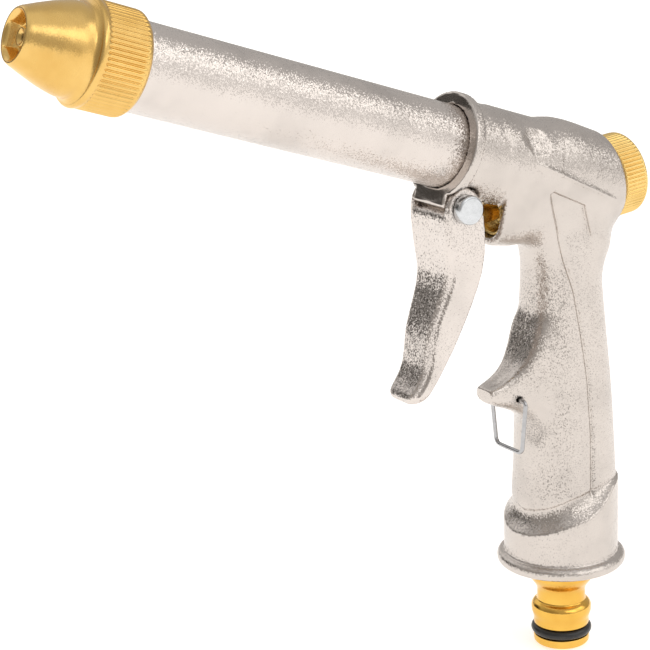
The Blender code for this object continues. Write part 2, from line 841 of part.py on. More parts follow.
def make_trigger(parts, cutters):
    """A cast lever, channelled behind, with two cheeks that straddle the pivot lug."""
    outer = [rounded_box_ring(front, rear, half, z, 2.6, 0.7) for z, front, rear, half in TRIGGER]
    lever = add_mesh("trigger", lofted(outer), parts, NICKEL, (PIVOT_X, 0.0, PIVOT_Z))
    inner = []
    for z, front, rear, half in TRIGGER[5:-4]:
        inner.append(rounded_box_ring(front + 2.0, rear + 6.0, half - 1.8, z, 1.2, 0.5))
    channel = add_mesh("cut_trigger_channel", lofted(inner), cutters)
    combine(lever, channel, "DIFFERENCE", "channel")
    top = [
        (-50.0, WEB_TOP_Z),
        (WEB_REAR_X, WEB_TOP_Z),
        (WEB_REAR_X, SADDLE_FLOOR_Z),
        (-20.0, SADDLE_FLOOR_Z),
        (-20.0, 145.0),
        (-50.0, 145.0),
    ]
    saddle = add_mesh("cut_trigger_saddle", prism(top, CHEEK_GAP), cutters)
    combine(lever, saddle, "DIFFERENCE", "saddle")
    hole = rod(PIN_HOLE_R, (PIVOT_X, -20, PIVOT_Z), (PIVOT_X, 20, PIVOT_Z), COARSE)
    combine(lever, add_mesh("cut_trigger_hole", hole, cutters), "DIFFERENCE", "pin_hole")


def make_pin(parts):
    """The pivot pin with its disc head on the near side, and the clip on its far end."""
    rows = (
        (0, 0.0, 0),
        (PIN_HEAD_R - 0.35, 0.0, COARSE),
        (PIN_HEAD_R, 0.35, COARSE),
        (PIN_HEAD_R, 2.9, COARSE),
        (PIN_R, 2.9, COARSE),
        (PIN_R, 22.6, COARSE),
        (PIN_R - 0.4, 23.0, COARSE),
        (0, 23.0, 0),
    )
    add_mesh("pivot_pin", turned(rows, (PIVOT_X, PIN_HEAD_Y, PIVOT_Z), (0, 1, 0)), parts, STEEL)
    washer("pivot_clip", parts, SPRING_STEEL, (PIVOT_X, 0, PIVOT_Z), (0, 1, 0), PIN_R + 0.08, 3.9, 9.1, 9.9)


def make_connector(parts):
    """The brass quick-connect inlet: spigot in the grip, flared neck, latch groove, seal and end."""
    rows = (
        (4.4, 0.0, FINE),
        (7.6, 0.0, FINE),
        (7.95, 0.4, FINE),
        (7.95, 2.5, FINE),
        (5.85, 2.5, FINE),
        (5.85, 5.7, FINE),
        (7.9, 5.7, FINE),
        (7.9, 7.6, FINE),
        (8.55, 9.4, FINE),
        (8.55, 11.6, FINE),
        (6.85, 13.0, FINE),
        (6.85, 16.3, FINE),
        (7.1, 17.2, FINE),
        (7.1, 20.2, FINE),
        (8.2, 21.9, FINE),
        (9.7, 23.2, FINE),
        (9.86, 23.8, FINE),
        (9.86, 36.2, FINE),
        (9.4, 36.7, FINE),
        (4.4, 36.7, FINE),
    )
    add_mesh("hose_connector", turned(rows, (GRIP_BASE_X, 0, 0), (0, 0, 1)), parts, BRASS)
    ring_of("connector_o_ring", parts, (0, 0, 4.1), (0, 0, 1), 7.3, 1.33, points=FINE, around=8)


def bail_path():
    """Wire centre line: in from one pivot hole, down, across and up to the other."""
    points = []
    inner = 3.2
    top = BAIL_Z
    low = BAIL_Z - BAIL_DROP
    half = BAIL_HALF
    bend = BAIL_CORNER_R
    small = 1.3
    points.append(Vector((BAIL_X, -inner, top)))
    for i in range(5):
        angle = pi / 2 + (pi / 2) * i / 4
        points.append(Vector((BAIL_X, -half + small + small * cos(angle), top - small + small * sin(angle))))
    for i in range(6):
        angle = pi + (pi / 2) * i / 5
        points.append(Vector((BAIL_X, -half + bend + bend * cos(angle), low + bend + bend * sin(angle))))
    return points + [Vector((p.x, -p.y, p.z)) for p in reversed(points)]


def make_bail(parts):
    path = bail_path()
    rings = []
    sides = 10
    last = len(path) - 1
    for i, point in enumerate(path):
        tangent = (path[min(i + 1, last)] - path[max(i - 1, 0)]).normalized()
        forward = Vector((1.0, 0.0, 0.0))
        across = tangent.cross(forward).normalized()
        ring = []
        for j in range(sides):
            angle = 2 * pi * j / sides
            ring.append(point + (forward * cos(angle) + across * sin(angle)) * WIRE_R)
        rings.append(ring)
    add_mesh("lock_bail", lofted(rings), parts, SPRING_STEEL, (BAIL_X, 0.0, BAIL_Z))


def main():
    clear_scene()
    parts, cutters = make_collections()
    make_body(parts, cutters)
    make_tube(parts)
    make_core(parts, cutters)
    make_head(parts)
    ring_of("head_o_ring", parts, on_barrel(144.95), BARREL_DIR, 8.98, 0.68, points=40, around=6)
    washer("barrel_gasket", parts, RUBBER, on_barrel(0), BARREL_DIR, 7.7, 10.9, 27.65, 28.85, COARSE)
    make_valve(parts)
    make_rear(parts, cutters)
    make_trigger(parts, cutters)
    make_pin(parts)
    make_connector(parts)
    washer("inlet_gasket", parts, RUBBER, (0, 0, 0), (0, 0, 1), 5.2, 9.4, 36.85, 37.85, COARSE)
    make_bail(parts)


main()
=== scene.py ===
"""A hose spray nozzle: blasted nickel casting, tube and trigger, brass head, knob and hose plug.

Shapes are worked out in millimetres in the row frame and turned into metres by add_piece.
"""

from math import cos, pi, radians, sin, tan

import bmesh
import bpy
import numpy as np
from mathutils import Matrix, Vector


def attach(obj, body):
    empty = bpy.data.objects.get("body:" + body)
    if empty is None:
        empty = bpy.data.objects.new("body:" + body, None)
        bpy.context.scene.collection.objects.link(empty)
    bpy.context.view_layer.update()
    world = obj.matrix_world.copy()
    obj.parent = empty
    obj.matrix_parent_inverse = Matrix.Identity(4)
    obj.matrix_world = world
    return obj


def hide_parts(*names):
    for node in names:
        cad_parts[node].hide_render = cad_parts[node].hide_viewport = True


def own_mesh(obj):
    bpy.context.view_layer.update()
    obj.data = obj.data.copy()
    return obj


MM = 0.001

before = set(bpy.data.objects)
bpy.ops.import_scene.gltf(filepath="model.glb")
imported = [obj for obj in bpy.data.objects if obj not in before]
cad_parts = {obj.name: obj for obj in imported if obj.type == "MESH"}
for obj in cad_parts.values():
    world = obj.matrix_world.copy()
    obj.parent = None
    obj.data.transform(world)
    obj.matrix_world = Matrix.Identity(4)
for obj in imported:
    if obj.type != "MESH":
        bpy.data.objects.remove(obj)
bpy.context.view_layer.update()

# ---------------------------------------------------------------- axes
BARREL_RISE = radians(18.95)
BARREL_Z0 = 135.93
BARREL_DIR = Vector((-cos(BARREL_RISE), 0.0, sin(BARREL_RISE)))
STEM_RISE = radians(6.2)
STEM_Z0 = 131.8
STEM_DIR = Vector((cos(STEM_RISE), 0.0, sin(STEM_RISE)))
UP = Vector((0.0, 0.0, 1.0))
PIVOT = (-37.4, 133.6)
COLLAR_FACE_S = 40.2
BAIL = (-17.8, 77.2)


def along_barrel(x, z):
    """(distance along the barrel axis, signed height over it) of points in the XZ plane."""
    c, s = cos(BARREL_RISE), sin(BARREL_RISE)
    return -c * x + s * (z - BARREL_Z0), s * x + c * (z - BARREL_Z0)


def along_stem(x, z):
    """(distance along the valve's axis, signed height over it) of points in the XZ plane."""
    c, s = cos(STEM_RISE), sin(STEM_RISE)
    return c * x + s * (z - STEM_Z0), -s * x + c * (z - STEM_Z0)


# ---------------------------------------------------------------- distance fields
def smooth_min(a, b, k):
    h = np.clip(0.5 + 0.5 * (b - a) / k, 0.0, 1.0)
    return b + (a - b) * h - k * h * (1.0 - h)


def smooth_max(a, b, k):
    return -smooth_min(-a, -b, k)


def step(low, high, value):
    """0 below low, 1 above high and an S-shaped rise between them."""
    t = np.clip((value - low) / (high - low), 0.0, 1.0)
    return t * t * (3.0 - 2.0 * t)


def eased(table, column, spread):
    """A lookup through a table's column, with its corners rounded over the given length."""
    rows = np.array([[row[0], row[column]] for row in table], float)
    at = np.linspace(rows[0, 0] - 4 * spread, rows[-1, 0] + 4 * spread, 1500)
    values = np.interp(at, rows[:, 0], rows[:, 1])
    pitch = at[1] - at[0]
    reach = int(3 * spread / pitch) + 1
    offsets = np.arange(-reach, reach + 1) * pitch
    weights = np.exp(-0.5 * (offsets / (spread * 0.6)) ** 2)
    padded = np.pad(values, reach, mode="edge")
    values = np.convolve(padded, weights / weights.sum(), mode="valid")
    return lambda x: np.interp(x, at, values)


def power_distance(u, v, a, b, power):
    """Near-distance to a rounded-square outline with half sizes a and b."""
    rho = np.sqrt(u * u + v * v) + 1e-9
    r = ((np.abs(u) / a) ** power + (np.abs(v) / b) ** power) ** (1.0 / power) + 1e-9
    return rho * (1.0 - 1.0 / r)


def uneven_capsule(y, q, low, high, gap):
    """Distance to the hull of a circle at q = 0 and another at q = gap."""
    b = np.clip((low - high) / np.maximum(gap, 0.01), -0.97, 0.97)
    a = np.sqrt(1.0 - b * b)
    k = -b * y + a * q
    below = np.hypot(y, q) - low
    above = np.hypot(y, q - gap) - high
    side = a * y + b * q - low
    return np.where(k < 0, below, np.where(k > a * gap, above, side))


def box_distance(u, v, a, b, radius):
    """Distance to a rectangle with half sizes a and b and rounded corners."""
    du = np.abs(u) - a + radius
    dv = np.abs(v) - b + radius
    outside = np.hypot(np.maximum(du, 0), np.maximum(dv, 0))
    return outside + np.minimum(np.maximum(du, dv), 0) - radius


def polygon_distance(x, z, outline):
    """Signed distance to a closed outline, negative inside."""
    best = np.full(np.shape(x), 1e9)
    sign = np.ones(np.shape(x))
    count = len(outline)
    for i in range(count):
        ax, az = outline[i]
        bx, bz = outline[(i + 1) % count]
        ex, ez = bx - ax, bz - az
        wx, wz = x - ax, z - az
        t = np.clip((wx * ex + wz * ez) / (ex * ex + ez * ez), 0.0, 1.0)
        best = np.minimum(best, (wx - ex * t) ** 2 + (wz - ez * t) ** 2)
        one = z >= az
        two = z < bz
        three = ex * wz > ez * wx
        flip = (one & two & three) | (~one & ~two & ~three)
        sign = np.where(flip, -sign, sign)
    return sign * np.sqrt(best)


def line_distance(x, z, line):
    """Distance to an open line through the given points."""
    best = np.full(np.shape(x), 1e9)
    for (ax, az), (bx, bz) in zip(line, line[1:]):
        ex, ez = bx - ax, bz - az
        t = np.clip(((x - ax) * ex + (z - az) * ez) / (ex * ex + ez * ez), 0.0, 1.0)
        best = np.minimum(best, (x - ax - ex * t) ** 2 + (z - az - ez * t) ** 2)
    return np.sqrt(best)


# ---------------------------------------------------------------- casting
SLEEVE_FOOT_R = 16.1
FLANGE_R, FLANGE_MID_Z, FLANGE_HALF, FLANGE_BASE_Z = 18.15, 26.55, 1.85, 24.7
SLEEVE_R, SLEEVE_START_S, SLEEVE_END_S = 13.1, 10.5, 39.0
COLLAR_R, COLLAR_MID_S, COLLAR_HALF = 14.5, 38.8, 1.4
HOUSING_FRONT_X, HOUSING_REAR_T = -24.9, 13.8
LUG_HALF, LUG_TAPER = 6.8, 3.2
SOCKET_R, SOCKET_START_S, SOCKET_END_S = 11.1, 31.0, 60.0
GLAND_R, GLAND_START_T, GLAND_END_T = 6.5, -27.4, -18.0
BONNET_R, BONNET_START_T, BONNET_END_T = 9.35, 8.0, 30.0
INLET_R, INLET_TOP_Z = 10.15, 33.0
RELIEF_R = 5.85
SLOT_HALF, SLOT_TOP_Z, SLOT_REAR_X, SLOT_FRONT_X = 3.3, 132.6, -26.0, -45.0
BAIL_HOLE_R, BAIL_HOLE_Y = 0.8, 2.6

# Grip by height: middle in X, half depth, half width.
GRIP = (
    (46.0, 1.2, 14.3, 13.5),
    (55.0, 1.3, 13.9, 12.9),
    (70.0, 1.1, 13.5, 12.2),
    (80.0, 1.0, 12.9, 11.7),
    (90.0, 0.7, 12.2, 11.2),
    (100.0, 0.6, 11.3, 10.7),
    (108.0, 0.5, 10.7, 10.4),
    (112.5, 1.1, 11.3, 10.4),
    (115.5, 1.8, 12.3, 10.6),
    (118.5, 1.6, 13.1, 10.9),
    (121.5, 0.9, 13.5, 11.0),
    (125.5, 0.1, 13.5, 11.0),
    (130.0, -0.4, 12.8, 10.5),
    (134.5, -0.6, 11.6, 9.3),
    (138.0, -0.6, 10.4, 8.0),
)
# Slanted scoop by the angle round from the side towards the front: lower and upper edge.
SCOOP = (
    (-60.0, 50.5, 50.9),
    (-28.0, 49.5, 50.2),
    (-11.0, 45.4, 49.4),
    (5.0, 42.5, 48.4),
    (27.0, 40.6, 47.2),
    (50.0, 38.4, 44.8),
    (72.0, 37.0, 43.3),
    (90.0, 36.8, 42.4),
)
# Housing by X: half height and half width of its upper round, radius of its lower round, top.
HOUSING = (
    (-24.9, 13.85, 13.1, 8.5, 158.3),
    (-19.0, 13.85, 13.1, 10.2, 156.28),
    (-14.0, 13.85, 13.1, 10.7, 154.56),
    (-9.0, 13.9, 13.1, 10.6, 152.9),
    (-6.0, 14.3, 13.1, 10.8, 152.8),
    (-2.5, 14.3, 13.0, 11.0, 152.4),
    (1.0, 14.2, 13.0, 11.3, 151.4),
    (5.0, 14.0, 12.9, 11.7, 149.9),
    (9.0, 13.6, 12.8, 12.2, 148.2),
    (12.4, 13.1, 12.7, 12.6, 146.8),
    (13.6, 12.6, 12.3, 12.3, 145.9),
)
# Finger rest by X: top, bottom, half width.
SPUR = (
    (-27.6, 79.4, 78.4, 2.0),
    (-26.8, 80.3, 77.4, 3.2),
    (-24.5, 81.3, 76.0, 4.0),
    (-21.5, 82.5, 74.7, 4.6),
    (-18.5, 84.4, 73.4, 5.1),
    (-16.0, 87.0, 72.0, 5.8),
    (-13.5, 91.5, 69.8, 7.0),
    (-11.0, 98.0, 67.0, 8.0),
    (-4.0, 101.0, 66.0, 8.4),
)
GROOVE = ((-11.4, 134.1), (-7.8, 124.1), (-4.6, 113.0), (-2.5, 105.9), (-0.3, 90.9),
          (0.9, 81.0), (1.5, 65.0), (0.8, 45.7))
POCKET = ((-11.1, 134.9), (-0.4, 129.8), (2.3, 121.5))
RIDGE = ((-17.6, 143.6), (11.0, 129.2))
GROOVE_DEPTH, GROOVE_WIDTH = 0.8, 0.6
PANEL_DEPTH = 0.8
RIDGE_HEIGHT, RIDGE_WIDTH = 0.7, 0.7
FACET_DIR = Vector((0.12, -0.82, 0.56)).normalized()
FACET_AT = (-15.4, -11.4, 148.0)
FACET_HALF, FACET_DEPTH, FACET_SLOPE = 2.2, 0.6, 0.4

GRIP_MID, GRIP_DEEP, GRIP_WIDE = (eased(GRIP, i, 2.2) for i in (1, 2, 3))
SCOOP_LOW, SCOOP_HIGH = (eased(SCOOP, i, 9.0) for i in (1, 2))
HALF_UP, WIDE_UP, LOW_R, TOP = (eased(HOUSING, i, 0.9) for i in (1, 2, 3, 4))
SPUR_TOP, SPUR_BOTTOM, SPUR_HALF = (eased(SPUR, i, 0.9) for i in (1, 2, 3))


def lug_outline():
    """Side view of the lug that hangs under the collar and holds the trigger's pin."""
    points = [(-39.75, 144.0), (-42.94, 134.7), (-42.4, 134.1), (-41.0, 133.9)]
    for i in range(9):
        angle = pi + pi * i / 8
        points.append((PIVOT[0] + 3.2 * cos(angle), PIVOT[1] + 3.2 * sin(angle)))
    return points + [(-33.2, 134.1), (-28.4, 134.4), (-26.0, 134.8), (-22.0, 135.6), (-22.0, 144.0)]


LUG = lug_outline()


def grip_field(x, y, z):
    """Grip, with the round sleeve at its foot and the slanted scoop between the two."""
    grip = power_distance(x - GRIP_MID(z), y, GRIP_DEEP(z), GRIP_WIDE(z), 2.4)
    sleeve = np.hypot(x, y) - SLEEVE_FOOT_R
    around = np.degrees(np.arctan2(-x, y + 1e-6))
    low, high = SCOOP_LOW(around), SCOOP_HIGH(around)
    t = np.clip((z - low) / (high - low), 0.0, 1.0)
    share = (1.0 - t) ** 2.1
    scooped = 0.55 * step(-30.0, 5.0, around)
    hollow = scooped * np.where(t < 1.0, np.sin(np.minimum(t, 0.999) * pi * 0.5) ** 1.5, 0.0)
    past = np.clip((z - high) / 0.7, 0.0, 1.0)
    hollow = np.where(t >= 1.0, scooped * (1.0 - past * past * (3 - 2 * past)), hollow)
    return grip + (sleeve - grip) * share + hollow


def housing_field(x, y, z):
    half_up, wide_up, low_r = HALF_UP(x), WIDE_UP(x), LOW_R(x)
    upper = TOP(x) - half_up
    lower = STEM_Z0 + x * tan(STEM_RISE)
    scale = wide_up / half_up
    shift = low_r * (1.0 - scale)
    body = uneven_capsule(y, (z - lower) * scale - shift, low_r, wide_up, (upper - lower) * scale - shift)
    t, _ = along_stem(x, z)
    body = smooth_max(body, t - HOUSING_REAR_T, 1.0)
    return smooth_max(body, HOUSING_FRONT_X - x, 1.5)


def barrel_field(x, y, z):
    s, e = along_barrel(x, z)
    rho = np.hypot(e, y)
    sleeve = np.maximum(np.maximum(rho - SLEEVE_R, s - SLEEVE_END_S), SLEEVE_START_S - s)
    collar = box_distance(s - COLLAR_MID_S, rho, COLLAR_HALF, COLLAR_R, 0.45)
    return smooth_min(sleeve, collar, 1.2)


def spur_field(x, y, z):
    top, bottom, half = SPUR_TOP(x), SPUR_BOTTOM(x), SPUR_HALF(x)
    middle, tall = (top + bottom) / 2, (top - bottom) / 2
    upper = power_distance(y, z - middle, half, tall, 4.5)
    lower = power_distance(y, z - middle, half, tall, 2.4)
    share = step(-0.3, 0.5, (z - middle) / tall)
    body = lower + (upper - lower) * share
    dish = 0.9 * np.exp(-((y / (0.55 * half)) ** 2)) * step(0.2, 0.9, (z - middle) / tall)
    body = smooth_max(body + dish * step(-26.5, -22.0, x), -27.6 - x, 1.6)
    return np.maximum(body, x + 5.0)


def side_of(x, z, start, end):
    """Signed distance to the line from start to end, positive on its right-hand side."""
    dx, dz = end[0] - start[0], end[1] - start[1]
    return ((x - start[0]) * dz - (z - start[1]) * dx) / np.hypot(dx, dz)


def side_marks(x, y, z):
    """Depth of the long groove and the sunk panel on both sides, less the height of the raised line."""
    near = step(4.0, 8.0, y)
    groove = GROOVE_DEPTH * np.exp(-((line_distance(x, z, GROOVE) / GROOVE_WIDTH) ** 2)) * step(46.0, 50.0, z)
    heights, places = [p[1] for p in GROOVE[::-1]], [p[0] for p in GROOVE[::-1]]
    behind = step(-0.1, 0.7, x - np.interp(z, heights, places))
    under = step(-0.2, 0.2, side_of(x, z, POCKET[0], POCKET[1]))
    before = step(-0.2, 0.2, side_of(x, z, POCKET[1], POCKET[2]))
    panel = PANEL_DEPTH * behind * under * before * step(112.0, 124.0, z)
    (start_x, start_z), (end_x, end_z) = RIDGE
    long, tall = end_x - start_x, end_z - start_z
    over = side_of(x, z, *RIDGE)
    run = (long * (x - start_x) + tall * (z - start_z)) / (long * long + tall * tall)
    ends = step(-0.05, 0.15, run) * (1.0 - step(0.8, 1.1, run))
    ridge = RIDGE_HEIGHT * np.exp(-((over / RIDGE_WIDTH) ** 2)) * ends
    return near * (groove + panel - ridge)


def facet_plane(x, y, z):
    """The plane that cuts the facet. It rises past the facet's ends, so that it leaves the casting again."""
    across, up = x - FACET_AT[0], z - FACET_AT[2]
    plane = across * FACET_DIR.x + (y + FACET_AT[1]) * -FACET_DIR.y + up * FACET_DIR.z
    ends = np.maximum(np.abs(across) - FACET_HALF, 0.0) + np.maximum(np.abs(up) - FACET_HALF, 0.0)
    return plane + FACET_DEPTH - FACET_SLOPE * ends


def casting_cuts(x, y, z):
    """(field, rounding of its edge) of each bore, relief, slot and hole in the casting."""
    s, e = along_barrel(x, z)
    socket = np.maximum(np.maximum(np.hypot(e, y) - SOCKET_R, SOCKET_START_S - s), s - SOCKET_END_S)
    t, up = along_stem(x, z)
    rod = np.hypot(up, y)
    gland = np.maximum(np.maximum(rod - GLAND_R, t - GLAND_END_T), GLAND_START_T - t)
    bonnet = np.maximum(np.maximum(rod - BONNET_R, BONNET_START_T - t), t - BONNET_END_T)
    inlet = np.maximum(np.hypot(x, y) - INLET_R, z - INLET_TOP_Z)
    relief = np.hypot(x - PIVOT[0], z - PIVOT[1]) - RELIEF_R
    below = np.maximum(np.abs(x - PIVOT[0]) - RELIEF_R, z - PIVOT[1])
    relief = np.maximum(np.minimum(relief, below), LUG_HALF - y)
    slot = np.maximum(np.maximum(z - SLOT_TOP_Z, y - SLOT_HALF), x - SLOT_REAR_X)
    slot = np.maximum(slot, SLOT_FRONT_X - x)
    hole = np.hypot(x - BAIL[0], z - BAIL[1]) - BAIL_HOLE_R
    hole = np.maximum(hole, BAIL_HOLE_Y - y)
    return (
        (socket, 0.3),
        (gland, 0.5),
        (bonnet, 0.3),
        (inlet, 0.3),
        (relief, 0.35),
        (slot, 0.25),
        (hole, 0.25),
    )


def casting_field(x, y, z):
    """The whole casting, the same on both sides of Y = 0."""
    y = np.abs(y)
    housing = housing_field(x, y, z)
    grip = np.maximum(grip_field(x, y, z), z - 138.0)
    body = smooth_min(housing, grip, 4.2)
    body = smooth_min(body, barrel_field(x, y, z), 0.9)
    body = smooth_min(body, spur_field(x, y, z), 3.2)
    flange = box_distance(np.hypot(x, y), z - FLANGE_MID_Z, FLANGE_R, FLANGE_HALF, 1.75)
    body = smooth_min(body, flange, 0.6)
    lug = np.maximum(polygon_distance(x, z, LUG), y - LUG_HALF + LUG_TAPER * step(-31.0, -25.5, x))
    body = smooth_min(body, lug, 0.5)
    body = smooth_max(body, facet_plane(x, y, z), 0.35)
    body = body + side_marks(x, y, z)
    body = np.maximum(body, FLANGE_BASE_Z - z)
    for cut, rounding in casting_cuts(x, y, z):
        body = smooth_max(body, -cut, rounding)
    return body


# ---------------------------------------------------------------- trigger
# Trigger by height: front, rear, half width.
TRIGGER = (
    (80.9, -52.9, -51.6, 4.6),
    (81.9, -53.6, -50.4, 5.4),
    (83.4, -53.9, -48.9, 6.2),
    (84.9, -53.4, -47.8, 6.6),
    (86.6, -52.0, -46.6, 6.8),
    (89.0, -50.3, -44.7, 6.8),
    (92.0, -49.1, -42.7, 6.8),
    (96.0, -48.4, -40.1, 6.9),
    (100.0, -47.8, -37.9, 7.0),
    (103.0, -46.9, -36.3, 7.1),
    (107.5, -45.1, -34.3, 7.5),
    (112.0, -43.3, -32.7, 8.0),
    (116.0, -42.4, -31.6, 8.5),
    (121.0, -42.5, -30.9, 8.8),
    (127.0, -42.9, -30.8, 8.9),
    (131.0, -43.0, -31.2, 8.9),
    (133.0, -42.8, -31.8, 8.9),
    (135.0, -42.5, -32.2, 8.9),
    (137.0, -41.5, -33.3, 8.9),
    (138.2, -40.1, -34.7, 8.9),
    (138.9, -38.4, -36.4, 8.9),
)
T_FRONT, T_REAR, T_HALF = (eased(TRIGGER, i, 1.0) for i in (1, 2, 3))
EAR_R, PIN_HOLE_R = 5.45, 1.98
FRONT_RADIUS, REAR_RADIUS = 1.7, 0.9
STRIP_INSET = 0.9
TOE_Z = 82.2
CHANNEL_FLOOR_Z, CHANNEL_WALL = 88.5, 1.8
SADDLE_HALF, SADDLE_REAR_Z = 7.1, 125.0
WEB_REAR_X, WEB_TOP_Z, CROWN_R = -41.0, 132.9, 2.0


def trigger_field(x, y, z):
    """A curved blade with a channel behind it, two ears at the pin and a saddle cut between them."""
    y = np.abs(y)
    front, rear, half = T_FRONT(z), T_REAR(z), T_HALF(z)
    middle, deep = (front + rear) / 2, np.maximum((rear - front) / 2, 0.3)
    radius = np.minimum(np.where(x < middle, FRONT_RADIUS, REAR_RADIUS), deep * 0.9)
    radius = np.minimum(radius, FRONT_RADIUS - 0.5 * step(123.0, 131.0, z))
    inset = STRIP_INSET * (1.0 - step(1.5, 2.3, x - front)) * (1.0 - step(116.0, 124.0, z))
    body = box_distance(x - middle, y + inset, deep, half, radius)
    body = smooth_max(body, TOE_Z - z + 0.055 * np.maximum(y - 2.5, 0.0) ** 2, 2.2)
    from_pin = np.hypot(x - PIVOT[0], z - PIVOT[1])
    body = np.where(z > PIVOT[1], np.maximum(body, from_pin - EAR_R), body)
    channel_middle, channel_deep = (front + 2.2 + rear + 8.0) / 2, (rear - front + 5.8) / 2
    channel = box_distance(x - channel_middle, y, channel_deep, half - CHANNEL_WALL, 1.2)
    body = smooth_max(body, -np.maximum(channel, CHANNEL_FLOOR_Z - z), 0.6)
    over = np.where(x < WEB_REAR_X, WEB_TOP_Z - z, SADDLE_REAR_Z - z)
    over = np.where(z > WEB_TOP_Z, np.minimum(over, WEB_TOP_Z - z), over)
    body = smooth_max(body, -smooth_max(over, y - SADDLE_HALF, 0.8), 0.5)
    crown_x, crown_z = WEB_REAR_X + 0.1, WEB_TOP_Z - 1.9
    crown = CROWN_R - np.hypot(np.maximum(crown_x - x, 0.0), np.maximum(z - crown_z, 0.0))
    on_crown = (z > crown_z) & (y < SADDLE_HALF) & (x < crown_x)
    body = np.where(on_crown, np.maximum(body, -crown), body)
    return smooth_max(body, PIN_HOLE_R - from_pin, 0.2)


# ---------------------------------------------------------------- meshing
def surface_nets(field, low, high, pitch):
    """Quads on the zero level of a field, one vertex in each cell that the surface crosses."""
    counts = [int(np.ceil((b - a) / pitch)) + 1 for a, b in zip(low, high)]
    axes = [low[i] + np.arange(counts[i]) * pitch for i in range(3)]
    values = np.empty(counts)
    for k in range(0, counts[2], 24):
        x, y, z = np.meshgrid(axes[0], axes[1], axes[2][k:k + 24], indexing="ij")
        values[:, :, k:k + 24] = field(x, y, z)
    shape = [c - 1 for c in counts]
    total = np.zeros((*shape, 3))
    hits = np.zeros(shape)
    corners = [(i, j, k) for i in (0, 1) for j in (0, 1) for k in (0, 1)]

    def corner(c):
        return values[c[0]:c[0] + shape[0], c[1]:c[1] + shape[1], c[2]:c[2] + shape[2]]

    for one in corners:
        for axis in range(3):
            if one[axis]:
                continue
            two = list(one)
            two[axis] = 1
            a, b = corner(one), corner(two)
            crossing = (a < 0) != (b < 0)
            t = np.where(crossing, a / np.where(crossing, a - b, 1.0), 0.0)
            for m in range(3):
                total[..., m] += np.where(crossing, one[m] + (t if m == axis else 0.0), 0.0)
            hits += crossing
    used = hits > 0
    index = np.full(shape, -1)
    index[used] = np.arange(used.sum())
    cells = np.argwhere(used)
    points = np.array(low) + (cells + total[used] / hits[used][:, None]) * pitch
    quads = []
    inside = values < 0
    for axis in range(3):
        one = [slice(None)] * 3
        two = [slice(None)] * 3
        one[axis], two[axis] = slice(0, -1), slice(1, None)
        change = inside[tuple(one)] != inside[tuple(two)]
        at = np.argwhere(change)
        u, v = [m for m in range(3) if m != axis]
        keep = (at[:, u] > 0) & (at[:, v] > 0) & (at[:, u] < shape[u]) & (at[:, v] < shape[v])
        at = at[keep]
        ring = []
        for du, dv in ((-1, -1), (0, -1), (0, 0), (-1, 0)):
            cell = at.copy()
            cell[:, u] += du
            cell[:, v] += dv
            ring.append(index[cell[:, 0], cell[:, 1], cell[:, 2]])
        quad = np.stack(ring, 1)
        solid = inside[at[:, 0], at[:, 1], at[:, 2]]
        flip = solid if axis == 1 else ~solid
        quad[flip] = quad[flip][:, ::-1]
        quads.append(quad)
    return points, np.concatenate(quads)


def project(field, points, limit, rounds=4):
    """Moves points onto the zero level, by no more than the limit."""
    start = points.copy()
    h = 0.04
    for _ in range(rounds):
        x, y, z = points.T
        value = field(x, y, z)
        slope = np.stack([
            field(x + h, y, z) - field(x - h, y, z),
            field(x, y + h, z) - field(x, y - h, z),
            field(x, y, z + h) - field(x, y, z - h),
        ], 1) / (2 * h)
        square = np.maximum((slope ** 2).sum(1), 0.2)
        move = -(value / square)[:, None] * slope
        size = np.linalg.norm(move, axis=1)
        move *= np.minimum(1.0, 0.25 / np.maximum(size, 1e-9))[:, None]
        points = points + move
        drift = points - start
        size = np.linalg.norm(drift, axis=1)
        points = start + drift * np.minimum(1.0, limit / np.maximum(size, 1e-9))[:, None]
    return points


def add_piece(name, points, faces, body, look, replaced):
    """A smooth-shaded piece from points in millimetres, riding on a body of the frame."""
    mesh = bpy.data.meshes.new(name)
    mesh.from_pydata((np.asarray(points, float) * MM).tolist(), [], [list(map(int, f)) for f in faces])
    mesh.validate()
    mesh.update()
    mesh.polygons.foreach_set("use_smooth", [True] * len(mesh.polygons))
    mesh.materials.append(look)
    made = bpy.data.objects.new(name, mesh)
    bpy.context.scene.collection.objects.link(made)
    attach(made, body)
    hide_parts(*replaced)
    return made


def refine(made, field, near):
    """Splits the edges in the marked region and puts the new points on the surface."""
    shell = bmesh.new()
    shell.from_mesh(made.data)
    old = len(shell.verts)
    co = np.array([v.co[:] for v in shell.verts]) / MM
    marked = near(*co.T)
    shell.verts.ensure_lookup_table()
    edges = [e for e in shell.edges if marked[e.verts[0].index] and marked[e.verts[1].index]]
    bmesh.ops.subdivide_edges(shell, edges=edges, cuts=1, use_grid_fill=True)
    shell.verts.ensure_lookup_table()
    shell.verts.index_update()
    co = np.array([v.co[:] for v in shell.verts]) / MM
    touched = near(*co.T)
    touched[old:] = True
    fixed = project(field, co[touched], 0.3)
    for i, point in zip(np.nonzero(touched)[0], fixed):
        shell.verts[int(i)].co = point * MM
    shell.to_mesh(made.data)
    shell.free()
    made.data.polygons.foreach_set("use_smooth", [True] * len(made.data.polygons))
    made.data.update()


def axis_frame(direction):
    """Three unit directions at right angles, the first one along the given direction."""
    along = Vector(direction).normalized()
    side = Vector((0.0, 1.0, 0.0)) if abs(along.y) < 0.9 else Vector((1.0, 0.0, 0.0))
    across = along.cross(side).normalized()
    side = across.cross(along).normalized()
    return along, across, side


